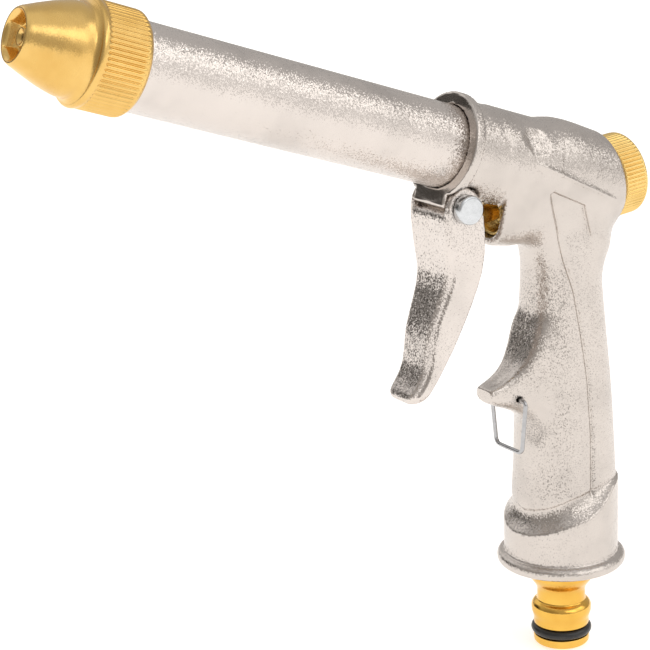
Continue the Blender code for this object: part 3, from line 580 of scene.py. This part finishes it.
def rounded_profile(rows, pitch=0.16):
    """A turned profile through (radius, height, corner radius) rows, its corners rounded."""
    points = []
    count = len(rows)
    for i, row in enumerate(rows):
        here = np.array(row[:2], float)
        bend = row[2] if len(row) > 2 else 0.0
        if i in (0, count - 1) or bend <= 0:
            points.append(here)
            continue
        back = np.array(rows[i - 1][:2], float) - here
        ahead = np.array(rows[i + 1][:2], float) - here
        room = min(np.linalg.norm(back), np.linalg.norm(ahead)) * 0.48
        reach = min(bend, room)
        a = here + back / np.linalg.norm(back) * reach
        b = here + ahead / np.linalg.norm(ahead) * reach
        steps = max(3, int(reach * 1.8 / pitch))
        for t in np.linspace(0, 1, steps):
            points.append((1 - t) ** 2 * a + 2 * t * (1 - t) * here + t * t * b)
    return np.array(points)


def turned(rows, origin, direction, segments=144, shape=None, closed=False):
    """(points, faces) of a turned surface; shape(radius, height, angle) may change the radius."""
    along, across, side = axis_frame(direction)
    origin = np.array(origin, float)
    profile = np.asarray(rows, float)
    angles = 2 * pi * np.arange(segments) / segments
    radius = profile[:, 0][:, None] * np.ones(segments)
    height = profile[:, 1][:, None] * np.ones(segments)
    if shape:
        radius = shape(radius, height, angles[None, :])
    ring = np.outer(np.cos(angles), np.array(across)) + np.outer(np.sin(angles), np.array(side))
    points = origin + radius[..., None] * ring[None] + height[..., None] * np.array(along)
    count = len(profile)
    faces = []
    last = count if closed else count - 1
    for i in range(last):
        k = (i + 1) % count
        for j in range(segments):
            n = (j + 1) % segments
            faces.append((i * segments + j, i * segments + n, k * segments + n, k * segments + j))
    points = points.reshape(-1, 3)
    for end, turn in ((0, 1), (count - 1, -1)):
        if not closed and profile[end, 0] > 1e-6:
            ringed = list(range(end * segments, (end + 1) * segments))
            faces.append(ringed[::-1] if turn > 0 else ringed)
    return points, faces


def tidy(made):
    """Joins the points on the axis and turns every face outwards."""
    shell = bmesh.new()
    shell.from_mesh(made.data)
    bmesh.ops.remove_doubles(shell, verts=shell.verts, dist=1e-7)
    bmesh.ops.recalc_face_normals(shell, faces=shell.faces)
    shell.to_mesh(made.data)
    shell.free()
    return made


# ---------------------------------------------------------------- materials
class Graph:
    """Short calls for building a material's node tree."""

    def __init__(self, name):
        self.material = bpy.data.materials.new(name)
        self.material.use_nodes = True
        self.nodes = self.material.node_tree.nodes
        self.links = self.material.node_tree.links
        self.shader = self.nodes["Principled BSDF"]
        self.place = self.nodes.new("ShaderNodeTexCoord").outputs["Object"]

    def put(self, socket, value):
        if hasattr(value, "is_output"):
            self.links.new(value, socket)
        else:
            socket.default_value = value

    def math(self, operation, a, b=0.0, clamp=False):
        node = self.nodes.new("ShaderNodeMath")
        node.operation = operation
        node.use_clamp = clamp
        self.put(node.inputs[0], a)
        self.put(node.inputs[1], b)
        return node.outputs[0]

    def vector(self, operation, a, b=(0.0, 0.0, 0.0)):
        node = self.nodes.new("ShaderNodeVectorMath")
        node.operation = operation
        self.put(node.inputs[0], a)
        if operation == "SCALE":
            self.put(node.inputs["Scale"], b)
        elif operation != "NORMALIZE":
            self.put(node.inputs[1], b)
        return node.outputs["Value" if operation == "DOT_PRODUCT" else "Vector"]

    def noise(self, scale, detail=2.0, roughness=0.5, place=None, colour=False):
        node = self.nodes.new("ShaderNodeTexNoise")
        self.put(node.inputs["Vector"], place or self.place)
        node.inputs["Scale"].default_value = scale
        node.inputs["Detail"].default_value = detail
        node.inputs["Roughness"].default_value = roughness
        return node.outputs["Color" if colour else "Fac"]

    def cells(self, scale, place=None):
        node = self.nodes.new("ShaderNodeTexVoronoi")
        self.put(node.inputs["Vector"], place or self.place)
        node.inputs["Scale"].default_value = scale
        return node.outputs["Color"]

    def ramp(self, value, stops):
        node = self.nodes.new("ShaderNodeValToRGB")
        self.put(node.inputs["Fac"], value)
        ramp = node.color_ramp
        while len(ramp.elements) < len(stops):
            ramp.elements.new(0.5)
        for element, (at, colour) in zip(ramp.elements, stops):
            element.position = at
            element.color = (*colour, 1.0)
        return node.outputs["Color"]

    def between(self, value, low, high):
        node = self.nodes.new("ShaderNodeMapRange")
        self.put(node.inputs["Value"], value)
        node.inputs["To Min"].default_value = low
        node.inputs["To Max"].default_value = high
        return node.outputs["Result"]

    def normal(self):
        return self.nodes.new("ShaderNodeNewGeometry").outputs["Normal"]

    def bump(self, height, strength, distance, normal=None):
        node = self.nodes.new("ShaderNodeBump")
        self.put(node.inputs["Height"], height)
        node.inputs["Strength"].default_value = strength
        node.inputs["Distance"].default_value = distance
        if normal is not None:
            self.put(node.inputs["Normal"], normal)
        return node.outputs["Normal"]

    def tilted(self, tilt, amount, normal):
        """The normal, tipped a random way: tilt is a colour around mid grey."""
        centred = self.vector("SUBTRACT", tilt, (0.5, 0.5, 0.5))
        tipped = self.vector("ADD", normal, self.vector("SCALE", centred, amount))
        return self.vector("NORMALIZE", tipped)


def blasted_nickel(name, colour, tilt=0.36, grain=3400.0, roughness=0.19, machined=False):
    """Nickel over a bead-blasted casting: each dimple throws the light its own way."""
    g = Graph(name)
    g.shader.inputs["Metallic"].default_value = 1.0
    dark = tuple(0.86 * c for c in colour)
    light = tuple(min(1.0, 1.05 * c) for c in colour)
    cloud = g.noise(55.0, 3.0, 0.6)
    g.put(g.shader.inputs["Base Color"], g.ramp(cloud, ((0.30, dark), (0.52, colour), (0.75, light))))
    patch = g.noise(120.0, 2.0)
    fine = g.noise(1500.0, 1.0)
    rough = g.math("ADD", g.between(patch, roughness - 0.04, roughness + 0.05), g.between(fine, -0.04, 0.04))
    g.put(g.shader.inputs["Roughness"], rough)
    swell = g.bump(g.noise(260.0, 2.0), 0.3, 0.0002, g.normal())
    amount, half = tilt, tilt * 0.5
    if machined:
        # The collar's front and the lug's front are faced in one cut, across the barrel's axis.
        along = g.vector("DOT_PRODUCT", g.place, tuple(BARREL_DIR))
        gap = g.math("ABSOLUTE", g.math("SUBTRACT", along, (BARREL_Z0 * BARREL_DIR.z + COLLAR_FACE_S) * MM))
        blasted = g.math("MULTIPLY", g.math("SUBTRACT", gap, 0.00015), 4000.0, clamp=True)
        amount, half = g.math("MULTIPLY", blasted, tilt), g.math("MULTIPLY", blasted, tilt * 0.5)
    coarse = g.tilted(g.cells(grain), amount, swell)
    g.put(g.shader.inputs["Normal"], g.tilted(g.cells(grain * 1.9), half, coarse))
    return g.material


def turned_brass(name, colour, axis, roughness=0.2, tilt=0.12, rings=0.25):
    """Brass straight from the lathe: fine rings about the axis and a soft haze."""
    g = Graph(name)
    g.shader.inputs["Metallic"].default_value = 1.0
    dark = (colour[0] * 0.88, colour[1] * 0.82, colour[2] * 0.7)
    cloud = g.noise(70.0, 3.0, 0.6)
    g.put(g.shader.inputs["Base Color"], g.ramp(cloud, ((0.28, dark), (0.55, colour))))
    along = g.vector("DOT_PRODUCT", g.place, tuple(axis))
    stretch = g.nodes.new("ShaderNodeCombineXYZ")
    g.put(stretch.inputs["X"], g.math("MULTIPLY", along, 1.0))
    ring = g.noise(9000.0, 2.0, 0.7, place=stretch.outputs["Vector"])
    g.put(g.shader.inputs["Roughness"],
          g.math("ADD", g.between(ring, roughness - 0.05, roughness + 0.05),
                 g.between(g.noise(160.0), -0.03, 0.03)))
    lathe = g.bump(ring, rings, 0.00003, g.normal())
    g.put(g.shader.inputs["Normal"], g.tilted(g.cells(3200.0), tilt, lathe))
    return g.material


def polished_steel(name, colour, roughness, tilt=0.04):
    g = Graph(name)
    g.shader.inputs["Metallic"].default_value = 1.0
    dark = tuple(0.8 * c for c in colour)
    smear = g.noise(300.0, 4.0, 0.65)
    g.put(g.shader.inputs["Base Color"], g.ramp(smear, ((0.3, dark), (0.62, colour))))
    g.put(g.shader.inputs["Roughness"], g.between(g.noise(420.0, 3.0), roughness - 0.06, roughness + 0.1))
    g.put(g.shader.inputs["Normal"], g.tilted(g.noise(900.0, 2.0, colour=True), tilt, g.normal()))
    return g.material


def moulded_rubber(name):
    g = Graph(name)
    dust = g.noise(240.0, 4.0, 0.7)
    black, grey = (0.006, 0.006, 0.007), (0.028, 0.027, 0.026)
    g.put(g.shader.inputs["Base Color"], g.ramp(dust, ((0.35, black), (0.8, grey))))
    g.put(g.shader.inputs["Roughness"], g.between(dust, 0.22, 0.42))
    g.put(g.shader.inputs["Normal"], g.bump(g.noise(2600.0, 2.0), 0.25, 0.00003, g.normal()))
    return g.material


NICKEL = blasted_nickel("blasted_nickel", (0.615, 0.565, 0.525), tilt=0.31, roughness=0.23, machined=True)
TRIGGER_NICKEL = blasted_nickel("blasted_lever", (0.69, 0.635, 0.595), tilt=0.38)
TUBE = blasted_nickel("blasted_tube", (0.68, 0.625, 0.585), tilt=0.34, grain=3600.0)
BRASS_HEAD = turned_brass("brass_head", (0.80, 0.53, 0.18), BARREL_DIR, roughness=0.26, tilt=0.06)
BRASS_KNOB = turned_brass("brass_knob", (0.86, 0.61, 0.23), STEM_DIR, roughness=0.26, tilt=0.06)
BRASS_PLUG = turned_brass("brass_plug", (0.83, 0.50, 0.105), UP, roughness=0.16, tilt=0.05)
STEEL = polished_steel("zinc_plated_steel", (0.66, 0.68, 0.70), 0.24)
WIRE = polished_steel("spring_wire", (0.48, 0.48, 0.49), 0.22)
RUBBER = moulded_rubber("black_rubber")

CAD_LOOKS = {
    "core_carrier": BRASS_HEAD,
    "valve_stem": BRASS_KNOB,
    "valve_nut": BRASS_KNOB,
    "spring_seat": BRASS_KNOB,
    "bonnet_plug": BRASS_KNOB,
    "head_o_ring": RUBBER,
    "barrel_gasket": RUBBER,
    "stem_o_ring": RUBBER,
    "valve_disc": RUBBER,
    "knob_o_ring": RUBBER,
    "inlet_gasket": RUBBER,
    "valve_spring": WIRE,
}
for node, look in CAD_LOOKS.items():
    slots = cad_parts[node].data.materials
    slots.clear()
    slots.append(look)


# ---------------------------------------------------------------- pieces
def near_marks(reach):
    """A test for points on the casting's sides within reach of its grooves and raised line."""
    def near(x, y, z):
        marks = np.min([line_distance(x, z, line) for line in (GROOVE, POCKET, RIDGE)], axis=0)
        return (np.abs(y) > 6.0) & (marks < reach)
    return near


def make_casting():
    """The grip and valve housing, its mesh finer along the marks on its sides."""
    pitch = 0.56
    points, faces = surface_nets(casting_field, (-45.0, -19.7, 24.1), (19.5, 19.7, 164.1), pitch)
    points = project(casting_field, points, pitch)
    body = add_piece("casting", points, faces, "body", NICKEL, ("pistol_body",))
    for reach in (1.6, 0.8):
        refine(body, casting_field, near_marks(reach))


def make_trigger():
    """The trigger lever."""
    pitch = 0.4
    points, faces = surface_nets(trigger_field, (-55.5, -9.9, 79.5), (-29.5, 9.9, 140.5), pitch)
    points = project(trigger_field, points, pitch)
    add_piece("trigger_lever", points, faces, "trigger", TRIGGER_NICKEL, ("trigger",))


def barrel_piece(name, rows, body, look, replaced, segments=160, shape=None, closed=False, pitch=0.16):
    profile = rounded_profile(rows, pitch) if not closed else np.array([r[:2] for r in rows], float)
    points, faces = turned(profile, (0, 0, BARREL_Z0), BARREL_DIR, segments, shape, closed)
    return tidy(add_piece(name, points, faces, body, look, replaced))


def stem_piece(name, rows, body, look, replaced, segments=120, shape=None, pitch=0.16):
    points, faces = turned(rounded_profile(rows, pitch), (0, 0, STEM_Z0), STEM_DIR, segments, shape)
    return tidy(add_piece(name, points, faces, body, look, replaced))


def make_tube():
    """The barrel, from inside the collar to under the head."""
    rows = [(9.4, 31.6), (10.95, 31.6, 0.1)]
    rows += [(10.95, 31.6 + 101.4 * i / 60) for i in range(1, 60)]
    rows += [(10.95, 134.3, 0.1), (10.3, 134.9, 0.1), (10.3, 140.5, 0.2), (9.9, 141.0, 0.1), (9.4, 141.0)]
    barrel_piece("tube", rows, "body", TUBE, ("barrel_tube",), segments=200)


def fluted(low, high, depth, count, run=0.9):
    """Flutes cut between two heights, running out at both ends."""
    def shape(radius, height, angle):
        wave = np.abs(np.sin(angle * count / 2))
        cut = depth * (1.0 - wave ** 0.75)
        start = step(low - run * 0.4, low + run * 0.6, height)
        end = 1.0 - step(high - run * 0.6, high + run * 0.4, height)
        outer = step(radius.max() - 1.2, radius.max() - 0.6, radius)
        return radius - cut * start * end * outer
    return shape


def nose_shape(radius, height, angle):
    """Six flats in the mouth of the nose, and the flutes of the ring behind it."""
    out = fluted(134.4, 144.4, 0.6, 60)(radius, height, angle)
    mouth = (height > 158.3) & (radius < 6.02)
    sector = (angle % (pi / 3)) - pi / 6
    flat = np.cos(pi / 6) / np.cos(sector)
    share = step(158.3, 159.4, height) * (1.0 - step(161.4, 162.1, height))
    return np.where(mouth, out * (1.0 - share * (1.0 - flat) * 0.9), out)


# Nose of the head: distance along the barrel, radius.
NOSE = (
    (147.4, 11.2),
    (148.8, 11.28),
    (150.2, 11.05),
    (154.0, 9.95),
    (158.0, 8.45),
    (160.9, 7.25),
    (161.9, 6.85),
)


def make_head():
    rows = [(8.45, 143.4), (10.6, 142.9), (10.6, 135.9, 0.2), (11.15, 135.3, 0.2), (11.15, 132.9, 0.3)]
    rows += [(11.9, 132.9, 0.3), (12.75, 133.9, 0.6)]
    rows += [(12.85, 134.6 + 0.35 * i) for i in range(28)]
    rows += [(12.95, 144.5, 0.3), (13.12, 145.4, 0.7), (12.8, 146.15, 0.5), (12.1, 146.3, 0.5)]
    rows += [(11.25, 147.1, 0.9)]
    nose = eased(NOSE, 1, 0.8)
    rows += [(float(nose(s)), s) for s in np.arange(148.0, 161.6, 0.35)]
    rows += [(6.72, 161.95, 0.25), (6.5, 162.2, 0.15), (6.1, 162.2, 0.12), (5.95, 161.9, 0.2)]
    rows += [(5.75, 161.0, 0.2), (5.3, 159.6, 0.2), (4.6, 158.6, 0.3), (3.5, 158.35, 0.3), (3.3, 155.0)]
    barrel_piece("twist_head", rows, "head", BRASS_HEAD, ("nozzle_head",), 480, nose_shape)


def make_core():
    """The cone-ended pin in the mouth of the nose."""
    rows = [(0, 131.0), (3.0, 131.0), (3.0, 150.0), (2.5, 153.0), (2.5, 160.2, 0.3), (2.15, 160.6, 0.15)]
    rows += [(1.75, 160.55, 0.2), (1.2, 160.0, 0.5), (0.0, 159.75)]
    barrel_piece("core_pin", rows, "body", BRASS_HEAD, ("spray_core",), segments=72)


def knob_shape(radius, height, angle):
    return fluted(15.0, 21.4, 0.55, 60, 0.7)(radius, height, angle)


def make_knob():
    """The flow knob behind the valve, with its hollow and its fluted rim."""
    rows = [(2.2, 4.0), (2.2, 14.3, 0.2), (10.4, 14.3, 0.3), (11.25, 14.85, 0.4)]
    rows += [(11.35, 15.0 + 0.3 * i) for i in range(22)]
    rows += [(11.3, 21.6, 0.2), (11.0, 22.1, 0.5), (10.2, 22.45, 0.4), (8.6, 22.5, 0.3), (8.0, 21.8, 0.4)]
    rows += [(4.0, 21.7), (0.0, 21.7)]
    stem_piece("knurled_knob", rows, "knob", BRASS_KNOB, ("flow_knob",), 480, knob_shape)


def make_gland():
    """The brass gland in front of the valve, seen in the hole behind the trigger."""
    rows = [(6.4, -18.4), (6.4, -23.4, 0.2), (6.1, -23.8, 0.3), (5.4, -23.8, 0.4), (5.0, -22.3, 0.8)]
    rows += [(3.6, -20.6, 0.8), (2.5, -20.4)]
    stem_piece("gland", rows, "body", BRASS_KNOB, ("gland_nut",), segments=96)


def make_plug():
    """The quick-connect plug under the flange: foot, seal groove, collar, latch groove and flare."""
    rows = [(4.4, 30.0), (4.4, 0.3, 0.2), (4.7, 0.0, 0.15), (7.55, 0.0, 0.3), (7.95, 0.5, 0.3)]
    rows += [(7.95, 2.5, 0.15), (5.95, 2.5, 0.1), (5.95, 5.7, 0.1), (7.9, 5.7, 0.2)]
    rows += [(7.9, 7.6, 0.6), (8.2, 8.5, 0.8), (8.55, 9.6, 0.8)]
    rows += [(8.55, 11.4, 0.5), (7.9, 12.4, 0.5), (6.85, 13.0, 0.35), (6.9, 16.4, 0.5), (7.5, 17.8, 0.6)]
    rows += [(8.5, 19.1, 0.6), (9.5, 20.6, 0.5), (9.8, 21.4, 0.4), (9.8, 26.0)]
    points, faces = turned(rounded_profile(rows), (0, 0, 0), UP, 128)
    tidy(add_piece("quick_plug", points, faces, "body", BRASS_PLUG, ("hose_connector",)))


def make_seal():
    """The plug's O-ring."""
    rows = [(7.3 + 1.33 * cos(a), 4.1 + 1.33 * sin(a)) for a in np.linspace(0, 2 * pi, 28, endpoint=False)]
    points, faces = turned(rows, (0, 0, 0), UP, 128, closed=True)
    tidy(add_piece("plug_seal", points, faces, "body", RUBBER, ("connector_o_ring",)))


def make_pin_and_clip():
    rows = [(0.0, 0.06), (2.9, 0.04, 0.3), (3.35, 0.04, 0.3), (3.72, 0.3, 0.35), (3.9, 0.75, 0.3)]
    rows += [(3.9, 2.7, 0.25), (3.7, 2.9, 0.1), (1.9, 2.9), (1.9, 22.5, 0.3), (1.5, 22.97, 0.2)]
    rows += [(0.0, 22.97)]
    points, faces = turned(rounded_profile(rows), (PIVOT[0], -12.0, PIVOT[1]), (0, 1, 0), 96)
    tidy(add_piece("pin", points, faces, "body", STEEL, ("pivot_pin",)))
    rows = [(2.0, 9.12), (3.75, 9.12), (3.88, 9.25), (3.88, 9.75), (3.75, 9.88), (2.0, 9.88)]
    points, faces = turned(rows, (PIVOT[0], 0.0, PIVOT[1]), (0, 1, 0), 72, closed=True)
    tidy(add_piece("pin_clip", points, faces, "body", WIRE, ("pivot_clip",)))


def bail_line():
    """Centre line of the wire: into the spur, down, across and up the other side."""
    inner, top, low, bend, small = 3.2, BAIL[1], BAIL[1] - 15.2, 1.9, 1.3
    wide, narrow = 7.7, 6.1
    points = [Vector((BAIL[0], -inner, top))]
    for i in range(9):
        a = pi / 2 + (pi / 2) * i / 8
        points.append(Vector((BAIL[0], -wide + small + small * cos(a), top - small + small * sin(a))))
    for i in range(11):
        a = pi + (pi / 2) * i / 10
        points.append(Vector((BAIL[0], -narrow + bend + bend * cos(a), low + bend + bend * sin(a))))
    return points + [Vector((p.x, -p.y, p.z)) for p in reversed(points)]


def wire_piece(name, path, outward, radius, sides, body, look, replaced):
    """Round wire along a path. outward holds one direction for each point, square to the path or nearly."""
    rings = []
    last = len(path) - 1
    for i, point in enumerate(path):
        tangent = (path[min(i + 1, last)] - path[max(i - 1, 0)]).normalized()
        across = tangent.cross(outward[i]).normalized()
        forward = across.cross(tangent)
        for j in range(sides):
            a = 2 * pi * j / sides
            rings.append(point + (forward * cos(a) + across * sin(a)) * radius)
    faces = []
    for i in range(last):
        for j in range(sides):
            n = (j + 1) % sides
            faces.append((i * sides + j, i * sides + n, (i + 1) * sides + n, (i + 1) * sides + j))
    faces.append(list(range(sides)))
    faces.append(list(range(last * sides, (last + 1) * sides)))
    return tidy(add_piece(name, [p[:] for p in rings], faces, body, look, replaced))


def make_bail():
    path = bail_line()
    outward = [Vector((1.0, 0.0, 0.0))] * len(path)
    wire_piece("wire_bail", path, outward, 0.59, 20, "bail", WIRE, ("lock_bail",))


def make_spring():
    """The valve's coil spring."""
    turns, per_turn, radius, wire, front, back = 5.0, 28, 4.9, 0.45, -5.95, 2.45
    pitch, stroke = 0.97, 2.22
    flat = 0.85
    _, across, side = axis_frame(STEM_DIR)
    path, outward = [], []
    for i in range(int(turns * per_turn) + 1):
        turn = i / per_turn
        low, high = front + wire + pitch * min(turn, flat) / flat, back - wire - pitch
        share = min(max((turn - flat) / (turns - 2 * flat), 0.0), 1.0)
        t = low + (high - low) * share + pitch * max(turn - turns + flat, 0.0) / flat
        out = across * cos(2 * pi * turn) + side * sin(2 * pi * turn)
        path.append(Vector((0.0, 0.0, STEM_Z0)) + STEM_DIR * t + out * radius)
        outward.append(out)
    coil = wire_piece("coil_spring", path, outward, wire, 10, "body", WIRE, ("valve_spring",))
    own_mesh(coil)


make_casting()
make_trigger()
make_tube()
make_head()
make_core()
make_knob()
make_gland()
make_plug()
make_seal()
make_pin_and_clip()
make_bail()
make_spring()


# ---------------------------------------------------------------- stage, lights and camera
def make_stage():
    """A pale table that glows a little, as a light table does."""
    shell = bmesh.new()
    bmesh.ops.create_grid(shell, x_segments=1, y_segments=1, size=2.2)
    mesh = bpy.data.meshes.new("floor")
    shell.to_mesh(mesh)
    shell.free()
    floor = bpy.data.objects.new("floor", mesh)
    floor.location = (0.0, 0.0, -0.0008)
    bpy.context.scene.collection.objects.link(floor)
    g = Graph("pale_floor")
    low, high = (0.86, 0.85, 0.84), (0.88, 0.87, 0.86)
    g.put(g.shader.inputs["Base Color"], g.ramp(g.noise(3.0), ((0.3, low), (0.7, high))))
    g.shader.inputs["Roughness"].default_value = 0.9
    g.shader.inputs["Emission Color"].default_value = (1.0, 0.985, 0.965, 1.0)
    g.shader.inputs["Emission Strength"].default_value = 0.62
    mesh.materials.append(g.material)


def make_world():
    """Pale to the eye; in reflections a studio: white table, grey room, soft boxes and dark cards."""
    world = bpy.data.worlds.new("studio")
    world.use_nodes = True
    bpy.context.scene.world = world
    nodes, links = world.node_tree.nodes, world.node_tree.links
    nodes.clear()
    out = nodes.new("ShaderNodeOutputWorld")
    direction = nodes.new("ShaderNodeTexCoord").outputs["Generated"]

    def math(operation, a, b=0.0):
        node = nodes.new("ShaderNodeMath")
        node.operation = operation
        for socket, value in zip(node.inputs, (a, b)):
            if hasattr(value, "is_output"):
                links.new(value, socket)
            else:
                socket.default_value = value
        return node.outputs[0]

    def lobe(aim, inner, outer):
        """1 inside the inner angle of a direction and 0 outside the outer one, in degrees."""
        dot = nodes.new("ShaderNodeVectorMath")
        dot.operation = "DOT_PRODUCT"
        links.new(direction, dot.inputs[0])
        dot.inputs[1].default_value = Vector(aim).normalized()
        span = nodes.new("ShaderNodeMapRange")
        span.interpolation_type = "SMOOTHSTEP"
        links.new(dot.outputs["Value"], span.inputs["Value"])
        span.inputs["From Min"].default_value = cos(radians(outer))
        span.inputs["From Max"].default_value = cos(radians(inner))
        return span.outputs["Result"]

    def mixed(share, one, two):
        node = nodes.new("ShaderNodeMix")
        node.data_type = "RGBA"
        for name, value in (("Factor", share), ("A", one), ("B", two)):
            socket = node.inputs[name]
            if hasattr(value, "is_output"):
                links.new(value, socket)
            else:
                socket.default_value = (*value, 1.0)
        return node.outputs["Result"]

    split = nodes.new("ShaderNodeSeparateXYZ")
    links.new(direction, split.inputs[0])
    height = nodes.new("ShaderNodeMapRange")
    height.interpolation_type = "SMOOTHSTEP"
    links.new(split.outputs["Z"], height.inputs["Value"])
    height.inputs["From Min"].default_value = 0.0
    height.inputs["From Max"].default_value = 0.9
    room = mixed(height.outputs["Result"], (0.52, 0.50, 0.48), (0.60, 0.59, 0.58))
    for aim, inner, outer, colour in WORLD_LOBES:
        room = mixed(lobe(aim, inner, outer), room, colour)
    rays = nodes.new("ShaderNodeLightPath")
    seen = nodes.new("ShaderNodeBackground")
    seen.inputs["Color"].default_value = (1.0, 1.0, 1.0, 1.0)
    lit = nodes.new("ShaderNodeBackground")
    links.new(room, lit.inputs["Color"])
    both = nodes.new("ShaderNodeMixShader")
    links.new(rays.outputs["Is Camera Ray"], both.inputs["Fac"])
    links.new(lit.outputs[0], both.inputs[1])
    links.new(seen.outputs[0], both.inputs[2])
    links.new(both.outputs[0], out.inputs["Surface"])


# Direction, full and zero angles, colour: dark room behind, dim room on the left, a white screen
# beside the camera, and a wide soft box above it that reaches round to the right.
WORLD_LOBES = (
    ((-0.12, 0.83, 0.55), 8.0, 26.0, (1.0, 0.98, 0.96)),
    ((0.0, -0.19, 1.0), 12.0, 34.0, (0.86, 0.85, 0.84)),
    ((-0.05, -0.77, 0.64), 6.0, 15.0, (1.9, 1.87, 1.83)),
    ((-0.56, 0.82, 0.12), 10.0, 25.0, (0.05, 0.045, 0.04)),
    ((-0.95, -0.05, 0.15), 16.0, 50.0, (0.36, 0.34, 0.32)),
    ((0.45, -0.85, 0.12), 20.0, 40.0, (0.88, 0.86, 0.84)),
    ((0.23, -0.79, 0.56), 8.0, 19.0, (2.1, 2.07, 2.03)),
    ((0.50, -0.65, 0.57), 6.0, 18.0, (1.5, 1.48, 1.45)),
    ((0.743, -0.493, 0.454), 4.0, 17.0, (1.45, 1.43, 1.40)),
    ((0.65, -0.40, 0.64), 5.0, 14.0, (2.0, 1.97, 1.93)),
)


def make_camera():
    camera = bpy.data.objects.new("camera", bpy.data.cameras.new("camera"))
    bpy.context.scene.collection.objects.link(camera)
    turn, lift, roll = radians(30.95), radians(15.47), radians(-2.27)
    distance = 487.18
    aim = Vector((-74.77, 0.0, 107.13))
    back = Vector((-sin(turn) * cos(lift), -cos(turn) * cos(lift), sin(lift)))
    right = (-back).cross(UP).normalized()
    top = right.cross(-back).normalized()
    wide = right * cos(roll) + top * sin(roll)
    tall = top * cos(roll) - right * sin(roll)
    turned_by = Matrix((wide, tall, back)).transposed().to_4x4()
    camera.matrix_world = Matrix.Translation((aim + back * distance) * MM) @ turned_by
    camera.data.sensor_width = 36.0
    camera.data.lens = 105.79
    camera.data.shift_x = -0.00348
    camera.data.shift_y = 0.00132
    camera.data.clip_start = 0.01
    camera.data.clip_end = 50.0
    bpy.context.scene.camera = camera


make_stage()
make_world()
make_camera()
bpy.context.scene.view_settings.view_transform = "Standard"
